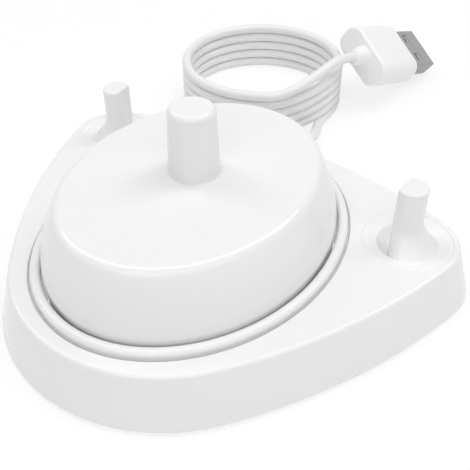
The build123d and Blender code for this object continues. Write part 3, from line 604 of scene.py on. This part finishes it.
def charger_moulding():
    """Oval shell of the charger as one closed skin, outside, post, rim and hollow inside.

    Its four screw bosses are closed shapes of their own that reach into the ceiling.
    """
    shape = Shape()
    belly, belly_radius = CHARGER_BELLY
    tuck, tuck_height = CHARGER_TUCK
    inner_lean = CHARGER_LEAN * (CEILING - CHARGER_KNUCKLE) / (CHARGER_TOP - CHARGER_KNUCKLE)
    wall = shape.grid(
        round_oval(
            rounded(
                (-CHARGER_LEAN - CHARGER_TOP_RUN, CHARGER_TOP, 0),
                (-CHARGER_LEAN, CHARGER_TOP, CHARGER_EDGE),
                (belly - CHARGER_LEAN / 2, (CHARGER_TOP + CHARGER_KNUCKLE) / 2, belly_radius),
                (0, CHARGER_KNUCKLE, CHARGER_BEND),
                (-tuck, tuck_height, CHARGER_TUCK_ROUND),
                (-tuck, CHARGER_FOOT, CHARGER_FOOT_ROUND),
                (-CHARGER_WALL, CHARGER_FOOT, SOFT_ROUND),
                (-CHARGER_WALL, CHARGER_KNUCKLE, CHARGER_BEND),
                (-CHARGER_WALL - inner_lean, CEILING, CEILING_ROUND),
                (-CHARGER_WALL - inner_lean - CEILING_RUN, CEILING, 0),
            ),
            CHARGER_HALF,
        )
    )
    post = round_axis(
        rounded(
            (POST_ROOT_RADIUS + POST_ROOT_RUN, CHARGER_TOP, 0),
            (POST_ROOT_RADIUS, CHARGER_TOP, POST_ROOT_ROUND),
            (POST_TIP_RADIUS, POST_TOP, POST_EDGE),
            (0, POST_TOP, 0),
        ),
        0,
        POST_Y,
    )
    hollow = round_axis(
        rounded(
            (POST_ROOT_RADIUS, CEILING, 0),
            (POST_ROOT_RADIUS - POST_WALL, CEILING, SOFT_ROUND),
            (POST_TIP_RADIUS - POST_WALL, POST_TOP - POST_WALL, POST_HOLLOW_ROUND),
            (0, POST_TOP - POST_WALL, 0),
        ),
        0,
        POST_Y,
    )
    shape.sheet(CHARGER_TOP, wall[0], shape.grid(post)[0])
    shape.sheet(CEILING, wall[-1], shape.grid(hollow)[0])
    buried = CEILING + SCREW_BOSS_SINK
    boss = rounded(
        (0, buried, 0),
        (SCREW_BOSS_RADIUS, buried, FINE_ROUND),
        (SCREW_BOSS_RADIUS, SCREW_BOSS_FOOT, SMALL_ROUND),
        (SCREW_PILOT_RADIUS, SCREW_BOSS_FOOT, FINE_ROUND),
        (SCREW_PILOT_RADIUS, SCREW_PILOT_TOP, SMALL_ROUND),
        (0, SCREW_PILOT_TOP, 0),
    )
    for x in (-SCREW_BOSS[0], SCREW_BOSS[0]):
        for y in (-SCREW_BOSS[1], SCREW_BOSS[1]):
            shape.grid(round_axis(boss, x, CHARGER_Y + y))
    return shape.build("charger_moulding")


def brush_pin_pair():
    """Two D-section pins with flared roots, mirror images.

    At each height the section is a circle cut by one flat. By its normal's angle f it is
    m + (r - c) (cos g, sin g) + (c - inset) (cos f, sin f), where m is the middle, r the radius, c rounds
    the corners, g is f kept off the flat, and the inset grows along the round of the top edge. Down the
    flare the radius grows and the middle moves to the seat's middle, less and less towards the flat.
    """
    f = np.linspace(-np.pi, np.pi, TURNS)
    lift = np.linspace(0, np.pi / 2, ARC_STEPS + 1)
    climb = np.linspace(0, PIN_FLARE_HEIGHT, 2 * ARC_STEPS)
    base = SEAT_FLOOR - SEAT_POCKET[1] - PIN_SINK
    flare = SEAT_FLOOR - PIN_FLARE_DROP
    height = np.concatenate([[base], flare + climb, PIN_TOP - PIN_ROUND * (1 - np.sin(lift))])[:, None]
    inset = np.concatenate([[0], 0 * climb, PIN_ROUND * (1 - np.cos(lift))])[:, None]
    neck = np.interp(height, [SEAT_FLOOR, PIN_TOP], [PIN_ROOT_RADIUS, PIN_TIP_RADIUS])
    share = np.clip(1 - (height - flare) / PIN_FLARE_HEIGHT, 0, 1) ** PIN_FLARE_BEND
    full, none = np.radians(PIN_FLARE_SPAN)
    near = np.clip((none - np.abs(f)) / (none - full), 0, 1)
    share = share * near * near * (3 - 2 * near)
    radius = neck + (PIN_FLARE_RADIUS - neck) * share
    turn = math.radians(-PIN_FLAT_TURN)
    aside = share * (PIN_INSET * math.cos(turn) - PIN_SETBACK * math.sin(turn))
    along = share * (-PIN_INSET * math.sin(turn) - PIN_SETBACK * math.cos(turn))
    limit = np.pi - np.arccos((PIN_FLAT + aside - PIN_CORNER) / (radius - PIN_CORNER))
    g = np.clip(f, -limit, limit)
    x = aside + (radius - PIN_CORNER) * np.cos(g) + (PIN_CORNER - inset) * np.cos(f)
    y = along + (radius - PIN_CORNER) * np.sin(g) + (PIN_CORNER - inset) * np.sin(f)
    # A row on the axis closes each end
    x = np.vstack([0 * x[:1], x, 0 * x[:1]])
    y = np.vstack([0 * y[:1], y, 0 * y[:1]])
    height = np.vstack([height[:1], height, height[-1:]])
    across = PIN_X + x * math.cos(turn) - y * math.sin(turn)
    deep = PIN_Y + x * math.sin(turn) + y * math.cos(turn)
    pin = np.stack(np.broadcast_arrays(across, deep, height), -1)
    stub = rounded(
        (0, base + 2 * PIN_SINK, 0),
        (PIN_SPIGOT_RADIUS, base + 2 * PIN_SINK, PIN_SPIGOT_EDGE),
        (PIN_SPIGOT_RADIUS, SEAT_BACKING, SMALL_ROUND),
        (0, SEAT_BACKING, 0),
    )
    shape = Shape()
    for sign in (-1, 1):
        shape.grid(pin * (sign, 1, 1))
        shape.grid(round_axis(stub, sign * PIN_X, PIN_Y))
    return shape.build("brush_pin_pair")


def cord_strain_relief():
    """Ribbed sleeve turned about the cord's axis: a cone whose radius dips between its ribs."""
    along = np.linspace(GLAND_WALL, GLAND_END - GLAND_LIP, GLAND_STEPS)
    share = (along - GLAND_WALL) / (GLAND_END - GLAND_WALL)
    ripple = np.clip(GLAND_RIB_FLAT * np.cos(2 * np.pi * GLAND_RIBS * share), -1, 1)
    cone = GLAND_RADII[0] + (GLAND_RADII[1] - GLAND_RADII[0]) * share
    radius = cone - GLAND_RIB_DEPTH * (1 - ripple) / 2
    least = CORD_DIAMETER / 2 + GLAND_SKIN
    radius = np.concatenate([[0, radius[0]], np.maximum(radius, least), [least, 0]])
    along = np.concatenate([[GLAND_START, GLAND_START], along, [GLAND_END, GLAND_END]])
    t = np.linspace(0, 2 * np.pi, TURNS // 2, endpoint=False)
    x = radius[:, None] * np.sin(t)
    z = GLAND_HEIGHT + radius[:, None] * np.cos(t)
    shape = Shape()
    shape.grid(np.stack(np.broadcast_arrays(x, along[:, None], z), -1))
    return shape.build("cord_strain_relief")


def in_plug(x, y, z):
    """Places across, down through and ahead along the plug, in the frame's axes."""
    x, y, z = (v[..., None] for v in np.broadcast_arrays(x, y, z))
    return PLUG_REAR + x * PLUG_ACROSS + y * PLUG_DOWN + z * PLUG_AHEAD


def quadrants():
    """Normal's angle round a section, quarter by quarter, and the signs of its cosine and sine."""
    quarter = np.linspace(0, np.pi / 2, ARC_STEPS + 1)
    f = np.concatenate([quarter + turn * np.pi / 2 for turn in range(4)])
    sign_x = np.repeat([1, -1, -1, 1], len(quarter))
    sign_y = np.repeat([1, 1, -1, -1], len(quarter))
    return f, sign_x, sign_y


def rounded_box(width, depth, corner):
    """Rounded rectangle by its normal's angle f: sign (size / 2 - r) + r (cos f, sin f) on each axis."""
    f, sign_x, sign_y = quadrants()
    width, depth, corner = (np.reshape(v, (-1, 1)) for v in (width, depth, corner))
    x = sign_x * (width / 2 - corner) + corner * np.cos(f)
    y = sign_y * (depth / 2 - corner) + corner * np.sin(f)
    return x, y


def plug_overmould():
    """Rounded block whose ends are rounded in, with a socket for the shell and a relief for the cord."""
    width, depth, length = OVERMOULD
    bend = np.linspace(0, np.pi / 2, ARC_STEPS + 1)
    inset = OVERMOULD_EDGE * (1 - np.cos(bend))
    ahead = OVERMOULD_EDGE * (1 - np.sin(bend))
    grow = np.concatenate([inset[::-1], inset])
    z = np.concatenate([length - ahead[::-1], ahead])
    x, y = rounded_box(width - 2 * grow, depth - 2 * grow, OVERMOULD_CORNER - grow)
    socket_x, socket_y = rounded_box(*SHELL, SHELL_CORNER)
    f = quadrants()[0]
    relief = rounded(
        (RELIEF_RADII[0] + RELIEF_RUN, 0, 0),
        (RELIEF_RADII[0], 0, RELIEF_ROUND),
        (RELIEF_RADII[1], -RELIEF_LENGTH, RELIEF_EDGE),
        (0, -RELIEF_LENGTH, 0),
    )
    rows_x = [0 * socket_x, socket_x, socket_x, x, relief[:, :1] * np.cos(f)]
    rows_y = [0 * socket_y, socket_y, socket_y, y, relief[:, :1] * np.sin(f)]
    rows_z = np.concatenate([[SHELL_START, SHELL_START, length], z, relief[:, 1]])
    shape = Shape()
    shape.grid(in_plug(np.vstack(rows_x), np.vstack(rows_y), rows_z[:, None]))
    return shape.build("plug_overmould")


def plug_sheet_shell():
    """Folded sheet: a rounded rectangle run along the plug, open at its end and at its latch windows."""
    x, y = (v[0] for v in rounded_box(*SHELL, SHELL_CORNER))
    ends = [(side, half) for side in (-1, 1) for half in (-1, 1)]
    edges = np.array([side * WINDOW_SPACING / 2 + half * WINDOW[0] / 2 for side, half in ends])
    quarter = len(x) // 4
    x = np.concatenate([x[:quarter], edges[::-1], x[quarter : 3 * quarter], edges, x[3 * quarter :]])
    flat = np.full(4, SHELL[1] / 2)
    y = np.concatenate([y[:quarter], flat, y[quarter : 3 * quarter], -flat, y[3 * quarter :]])
    middle = SHELL_END - WINDOW_FROM_TIP
    z = np.array([SHELL_START, OVERMOULD[2], middle - WINDOW[1] / 2, middle + WINDOW[1] / 2, SHELL_END])
    keep = np.ones((len(z) - 1, len(x)), bool)
    windows = quarter + np.array([0, 2])
    keep[2, windows] = False
    keep[2, windows + 2 * quarter + 4] = False
    shape = Shape()
    shape.grid(in_plug(x, y, z[:, None]), keep=keep)
    shell = shape.build("plug_sheet_shell")
    sheet = shell.modifiers.new("sheet", "SOLIDIFY")
    sheet.thickness = SHELL_SHEET * MM
    sheet.offset = -1
    fold = shell.modifiers.new("broken_edges", "BEVEL")
    fold.width = SHELL_EDGE * MM
    fold.segments = 2
    return shell


class Value:
    """A number on a shader socket. Sums and products with it add Math nodes to its tree."""

    def __init__(self, finish, socket):
        self.finish = finish
        self.socket = socket

    def math(self, operation, left, right=0.0):
        return self.finish.node("ShaderNodeMath", {"operation": operation}, {0: left, 1: right})

    def __add__(self, other):
        return self.math("ADD", self, other)

    def __sub__(self, other):
        return self.math("SUBTRACT", self, other)

    def __rsub__(self, other):
        return self.math("SUBTRACT", other, self)

    def __mul__(self, other):
        return self.math("MULTIPLY", self, other)

    def __abs__(self):
        return self.math("ABSOLUTE", self)

    def larger(self, other):
        return self.math("MAXIMUM", self, other)

    def smaller(self, other):
        return self.math("MINIMUM", self, other)

    def above(self, edge):
        return self.math("GREATER_THAN", self, edge)

    def wave(self, pitch):
        """Ripple from -1 to 1 that repeats every pitch."""
        return self.math("SINE", self * (2 * math.pi / pitch))

    def ramp(self, low, high):
        """0 at low, 1 at high, straight between and level beyond."""
        return self.finish.node("ShaderNodeMapRange", None, {0: self, 1: low, 2: high})

    __radd__ = __add__
    __rmul__ = __mul__


class Finish:
    """Node tree of a material or of the world, emptied, with one method that adds any node."""

    def __init__(self, owner):
        owner.use_nodes = True
        self.tree = owner.node_tree
        self.tree.nodes.clear()

    def node(self, kind, settings=None, sockets=None, out=0):
        """New node of a kind. Its settings are set first, and it gives each output asked for as a value."""
        made = self.tree.nodes.new(kind)
        for name, value in (settings or {}).items():
            setattr(made, name, value)
        for key, value in (sockets or {}).items():
            if isinstance(value, Value):
                self.tree.links.new(value.socket, made.inputs[key])
            else:
                made.inputs[key].default_value = value
        if isinstance(out, (tuple, range)):
            return [Value(self, made.outputs[key]) for key in out]
        return Value(self, made.outputs[out]) if made.outputs else None

    def place(self):
        """Object coordinates, in metres."""
        return self.node("ShaderNodeTexCoord", out="Object")

    def axes(self, middle=(0, 0, 0)):
        """Millimetres along each axis of the frame from a middle in metres."""
        shift = tuple(-c / MM for c in middle)
        where = self.node("ShaderNodeMapping", None, {0: self.place(), 1: shift, 3: (1 / MM,) * 3})
        return self.node("ShaderNodeSeparateXYZ", None, {0: where}, range(3))

    def plug_axes(self):
        """Object coordinates turned so that X runs across the plug, Y down through it and Z along it."""
        dot = {"operation": "DOT_PRODUCT"}
        place = self.place()
        ways = (PLUG_ACROSS, PLUG_DOWN, PLUG_AHEAD)
        parts = [self.node("ShaderNodeVectorMath", dot, {0: place, 1: tuple(way)}, 1) for way in ways]
        return self.node("ShaderNodeCombineXYZ", None, dict(enumerate(parts)))

    def noise(self, size, detail=2.0, stretch=(1, 1, 1), where=None):
        """Noise whose features are about size millimetres across, times the stretch along each axis."""
        shrink = tuple(1 / (size * MM * share) for share in stretch)
        where = self.node("ShaderNodeMapping", None, {0: where or self.place(), 3: shrink})
        return self.node("ShaderNodeTexNoise", None, {"Vector": where, "Scale": 1.0, "Detail": detail})

    def blend(self, share, first, second):
        """Mix of two colours, by the share of the second."""
        return self.node("ShaderNodeMix", {"data_type": "RGBA"}, {0: share, 6: first, 7: second}, 2)

    def bump(self, height, depth):
        """Bump in which a height of 1 stands for a depth in millimetres."""
        return self.node("ShaderNodeBump", None, {"Height": height, "Distance": depth * MM, "Strength": 1.0})

    def surface(self, colour, roughness, normal, **sockets):
        """Principled surface. Other sockets are given by name, with _ for a space."""
        named = {key.replace("_", " "): value for key, value in sockets.items()}
        main = {"Base Color": colour, "Roughness": roughness, "Normal": normal}
        shader = self.node("ShaderNodeBsdfPrincipled", None, {**main, **named})
        self.node("ShaderNodeOutputMaterial", None, {0: shader})


def tint(colour, level=1.0):
    """Opaque colour, made darker or lighter by a level."""
    return tuple(min(float(c) * level, 1.0) for c in colour[:3]) + (1.0,)


def grey(level):
    return tint((level, level, level))


def new_finish(name):
    """New material of a name, and its emptied node tree."""
    material = bpy.data.materials.new(name)
    return material, Finish(material)


def moulded(slot, level, mottle, roughness, spread, grain, depth):
    """Moulded plastic: a faint mottle in its colour, uneven gloss and a fine skin."""
    material, finish = new_finish(slot)
    colour = COLOURS[slot]
    cloud = finish.noise(6.0, 3.0)
    gloss = finish.noise(2.2, 4.0)
    finish.surface(
        finish.blend(cloud, tint(colour, level - mottle), tint(colour, level)),
        roughness + spread * (gloss - 0.5),
        finish.bump(finish.noise(grain, 2.0), depth),
    )
    return material


def soft_rubber(slot):
    """Rubber: mottled and dull, with a pebbled skin and pale dust in patches."""
    material, finish = new_finish(slot)
    colour = COLOURS[slot]
    pebble = finish.noise(0.35, 3.0)
    bare = finish.blend(finish.noise(2.5, 3.0), tint(colour, 0.8), tint(colour, 1.1))
    dust = 0.3 * finish.noise(1.4, 5.0).ramp(0.5, 0.75)
    dusty = finish.blend(dust, bare, tint(colour, 1.9))
    finish.surface(dusty, 0.7 + 0.2 * pebble, finish.bump(pebble, 0.02))
    return material


def plated_steel(slot):
    """Zinc plate: a cloudy bright metal with fine turning marks and duller spots."""
    material, finish = new_finish(slot)
    colour = COLOURS[slot]
    marks = finish.noise(0.4, 4.0, (1, 1, 0.15))
    cloud = finish.noise(0.9, 3.0)
    finish.surface(
        finish.blend(cloud, tint(colour, 0.82), tint(colour, 1.08)),
        0.26 + 0.22 * marks + 0.2 * cloud.ramp(0.6, 0.7),
        finish.bump(marks, 0.008),
        Metallic=1.0,
    )
    return material


def solder_mask(slot):
    """Circuit board: green mask over raised tracks, tinned dots, and bare laminate at its cut edge."""
    material, finish = new_finish(slot)
    colour = COLOURS[slot]
    where = finish.node("ShaderNodeMapping", None, {0: finish.place(), 3: (1 / MM,) * 3})
    lay = {
        "Vector": where,
        "Scale": 1.0,
        "Mortar Size": TRACK_WIDTH,
        "Brick Width": TRACK_LENGTH,
        "Row Height": TRACK_PITCH,
    }
    tracks = finish.node("ShaderNodeTexBrick", {"offset": TRACK_OFFSET}, lay, 1)
    cells = finish.node("ShaderNodeTexVoronoi", None, {"Vector": where, "Scale": DOTS_PER_MM})
    dots = cells.ramp(*DOT_EDGE)
    normal = finish.node("ShaderNodeNewGeometry", out="Normal")
    edge = 1 - abs(finish.node("ShaderNodeSeparateXYZ", None, {0: normal}, 2)).above(0.5)
    mask = finish.blend(tracks, tint(colour, 0.85), tint(colour, 1.45))
    weave = finish.noise(0.4, 3.0, (1, 1, 0.3))
    side = finish.blend(weave, tint(LAMINATE, 0.8), tint(LAMINATE))
    finish.surface(
        finish.blend(edge, finish.blend(dots, mask, tint(TIN)), side),
        0.32 + 0.1 * weave + 0.3 * edge,
        finish.bump(tracks.larger(dots), 0.03),
        Metallic=dots * (1 - edge),
    )
    return material


def sintered(finish, colour):
    """Speckled colour and rough grain of a pressed and fired ceramic."""
    grain = finish.noise(0.18, 2.0)
    chips = finish.noise(1.3, 4.0).ramp(0.62, 0.7)
    speckled = finish.blend(grain, tint(colour, 0.6), tint(colour, 1.5))
    return speckled, 0.5 + 0.3 * grain + 0.1 * chips, grain - chips


def ferrite(slot):
    """Bare ferrite, as pressed and fired."""
    material, finish = new_finish(slot)
    colour, roughness, height = sintered(finish, COLOURS[slot])
    finish.surface(colour, roughness, finish.bump(height, 0.012))
    return material


def wire_turns(finish, colour, pitch):
    """Fine wire laid turn on turn along the upright axis: a ripple, and some turns darker than others."""
    turn = finish.noise(pitch, 1.0, (40, 40, 1))
    return finish.blend(turn, tint(colour, 0.7), tint(colour, 1.1)), finish.axes()[2].wave(pitch)


def enamelled_wire(slot):
    """Copper wire under clear enamel, wound turn on turn."""
    material, finish = new_finish(slot)
    colour, ripple = wire_turns(finish, COLOURS[slot], COIL_WIRE_PITCH)
    gloss = 0.22 + 0.15 * finish.noise(0.8, 3.0)
    finish.surface(colour, gloss, finish.bump(ripple, 0.03), Metallic=1.0, Coat_Weight=0.6)
    return material


def wound_drum(slot, wire_slot, node, flange):
    """Ferrite drum with enamelled wire wound between its flanges."""
    material, finish = new_finish("wound_drum")
    low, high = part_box(node)
    body, roughness, height = sintered(finish, COLOURS[slot])
    wire, ripple = wire_turns(finish, COLOURS[wire_slot], DRUM_WIRE_PITCH)
    half = (high[2] - low[2]) / 2 / MM - flange
    middle = [(a + b) / 2 for a, b in zip(low, high)]
    wound = 1 - abs(finish.axes(middle)[2]).above(half - 0.02)
    finish.surface(
        finish.blend(wound, body, wire),
        roughness - wound * (roughness - 0.28),
        finish.bump(height * (1 - wound) + ripple * wound, 0.02),
        Metallic=wound,
    )
    return material


def drawn_can(slot, node):
    """Aluminium can: drawing marks up its side, and a scored cross on its top."""
    material, finish = new_finish(slot)
    colour = COLOURS[slot]
    low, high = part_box(node)
    x, y, z = finish.axes(((low[0] + high[0]) / 2, (low[1] + high[1]) / 2, high[2]))
    drawn = finish.noise(0.12, 3.0, (1, 1, 40))
    score = (1 - abs(x).smaller(abs(y)).ramp(*CAN_SCORE)) * z.above(-0.1)
    finish.surface(
        finish.blend(drawn, tint(colour, 0.82), tint(colour, 1.05)),
        0.24 + 0.2 * drawn,
        finish.bump(0.15 * drawn - score, 0.06),
        Metallic=1.0,
    )
    return material


def moulded_chip(slot, node, body_depth):
    """Black epoxy with a fine grain, and tinned legs beyond its two long sides."""
    material, finish = new_finish(slot)
    colour = COLOURS[slot]
    low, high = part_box(node)
    y = finish.axes((0, (low[1] + high[1]) / 2, 0))[1]
    legs = abs(y).above(body_depth / 2 + 0.01)
    grain = finish.noise(0.12, 3.0)
    body = finish.blend(grain, tint(colour, 0.7), tint(colour, 1.4))
    tin = finish.blend(grain, tint(TIN, 0.8), tint(TIN))
    finish.surface(
        finish.blend(legs, body, tin),
        0.55 + 0.15 * grain - 0.25 * legs,
        finish.bump(grain, 0.012),
        Metallic=legs,
    )
    return material


def capped_ceramic(slot, node, length, cap):
    """Pale ceramic chips in two rows, with tinned caps at both ends of each."""
    material, finish = new_finish(slot)
    colour = COLOURS[slot]
    low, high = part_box(node)
    x = finish.axes()[0]
    rows = (low[0] / MM + length / 2, high[0] / MM - length / 2)
    caps = abs(x - rows[0]).smaller(abs(x - rows[1])).above(length / 2 - cap)
    grain = finish.noise(0.2, 3.0)
    body = finish.blend(grain, tint(colour, 0.8), tint(colour, 1.1))
    tin = finish.blend(grain, tint(TIN, 0.75), tint(TIN))
    finish.surface(
        finish.blend(caps, body, tin),
        0.5 - 0.15 * caps + 0.1 * grain,
        finish.bump(grain, 0.01),
        Metallic=caps,
    )
    return material


def wire_pair(slot):
    """Sheaths of two wires, one coloured and one black, with a dull waxy skin."""
    material, finish = new_finish(slot)
    colour = COLOURS[slot]
    skin = finish.noise(0.5, 3.0)
    bright = finish.blend(skin, tint(colour, 0.85), tint(colour, 1.1))
    dark = finish.blend(skin, tint(BLACK_SHEATH), tint(BLACK_SHEATH, 1.6))
    side = finish.axes()[0].above(0.0)
    finish.surface(finish.blend(side, dark, bright), 0.42 + 0.16 * skin, finish.bump(skin, 0.01))
    return material


def brushed_plate(slot, level, roughness, depth):
    """Stamped plate with fine marks along the plug and a faint cloud in its shine."""
    material, finish = new_finish(slot)
    colour = COLOURS[slot]
    where = finish.plug_axes()
    marks = finish.noise(0.1, 3.0, (1, 1, 30), where)
    cloud = finish.noise(2.0, 3.0)
    finish.surface(
        finish.blend(marks, tint(colour, 0.85 * level), tint(colour, 1.1 * level)),
        roughness + 0.16 * marks + 0.1 * cloud,
        finish.bump(marks, depth),
        Metallic=1.0,
    )
    return material


def seen_rays(finish):
    """1 on rays from the camera, straight, by a shine or through something clear, and 0 on others."""
    share, *others = finish.node("ShaderNodeLightPath", out=SEEN_RAYS)
    for other in others:
        share = share.larger(other)
    return share


def add_world():
    """Dim even room light, and plain white where the camera or a shine sees it."""
    world = bpy.data.worlds.new("studio")
    scene.world = world
    finish = Finish(world)
    strength = ROOM + (1 - ROOM) * seen_rays(finish)
    sky = finish.node("ShaderNodeBackground", None, {"Color": grey(1.0), "Strength": strength})
    finish.node("ShaderNodeOutputWorld", None, {0: sky})


def add_floor():
    """Wide white floor. The camera sees it part lit and part plain white, so its shadows stay faint."""
    mesh = bpy.data.meshes.new("floor")
    corners = [(x * FLOOR_HALF, y * FLOOR_HALF, 0) for x, y in ((-1, -1), (1, -1), (1, 1), (-1, 1))]
    mesh.from_pydata(corners, [], [(0, 1, 2, 3)])
    material, finish = new_finish("floor")
    seen = seen_rays(finish)
    colour = finish.blend(seen, grey(FLOOR_BOUNCE), grey(1.0))
    lit = finish.node("ShaderNodeBsdfDiffuse", None, {"Color": colour})
    plain = finish.node("ShaderNodeEmission", None, {"Color": grey(1.0), "Strength": 1.0})
    shader = finish.node("ShaderNodeMixShader", None, {0: FLOOR_GLOW * seen, 1: lit, 2: plain})
    finish.node("ShaderNodeOutputMaterial", None, {0: shader})
    mesh.materials.append(material)
    floor = bpy.data.objects.new("floor", mesh)
    scene.collection.objects.link(floor)


def add_softbox(azimuth, elevation, watts, width, length):
    """Softbox that faces the object, its length upright."""
    name = f"softbox_{azimuth}"
    lamp = bpy.data.lights.new(name, "AREA")
    lamp.shape = "RECTANGLE"
    lamp.energy = watts
    lamp.size = width
    lamp.size_y = length
    holder = bpy.data.objects.new(name, lamp)
    way = towards(azimuth, elevation)
    holder.location = way * LAMP_DISTANCE
    holder.rotation_mode = "QUATERNION"
    holder.rotation_quaternion = (-way).to_track_quat("-Z", "Y")
    scene.collection.objects.link(holder)


def add_piece(piece, body, slot, *nodes):
    """Gives a piece its finish, its body and the nodes that it replaces."""
    piece.data.materials.append(FINISHES[slot])
    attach(piece, body)
    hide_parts(*nodes)
    return piece


add_camera()
add_world()
add_floor()
for softbox in SOFTBOXES:
    add_softbox(*softbox)

FINISHES = {
    **{slot: moulded(slot, *values) for slot, values in MOULDED.items()},
    **{slot: brushed_plate(slot, *values) for slot, values in BRUSHED.items()},
    "grey_rubber": soft_rubber("grey_rubber"),
    "screw_steel": plated_steel("screw_steel"),
    "board_green": solder_mask("board_green"),
    "ferrite_grey": ferrite("ferrite_grey"),
    "copper": enamelled_wire("copper"),
    "can_aluminium": drawn_can("can_aluminium", "smoothing_capacitor"),
    "chip_black": moulded_chip("chip_black", "driver_chip", CHIP_BODY_DEPTH),
    "ceramic_tan": capped_ceramic("ceramic_tan", "chip_components", SMALL_CHIP_LENGTH, SMALL_CHIP_CAP),
    "wire_red": wire_pair("wire_red"),
}
for row in frame["record"]["subparts"]:
    node = frame["nodes"][row["node"]]
    node.data.materials.clear()
    node.data.materials.append(FINISHES[row["material_slot"]])
wound = frame["nodes"]["filter_inductor"].data.materials
wound[0] = wound_drum("ferrite_grey", "copper", "filter_inductor", DRUM_FLANGE)

cord = add_piece(add_cord(), "charger", "cord_white", "cord_lead", "cord_coil", "cord_tail")
add_piece(stand_moulding(), "stand", "white_gloss", "stand_shell")
add_piece(brush_pin_pair(), "stand", "white_gloss", "brush_pins")
add_piece(charger_moulding(), "charger", "white_gloss", "charger_housing")
relief = add_piece(cord_strain_relief(), "charger", "cord_white", "cord_gland")
grip = add_piece(plug_overmould(), "charger", "plug_white", "plug_body")
shell = add_piece(plug_sheet_shell(), "charger", "plug_steel", "plug_shell")

scene.view_settings.view_transform = "Standard"
bpy.context.view_layer.update()
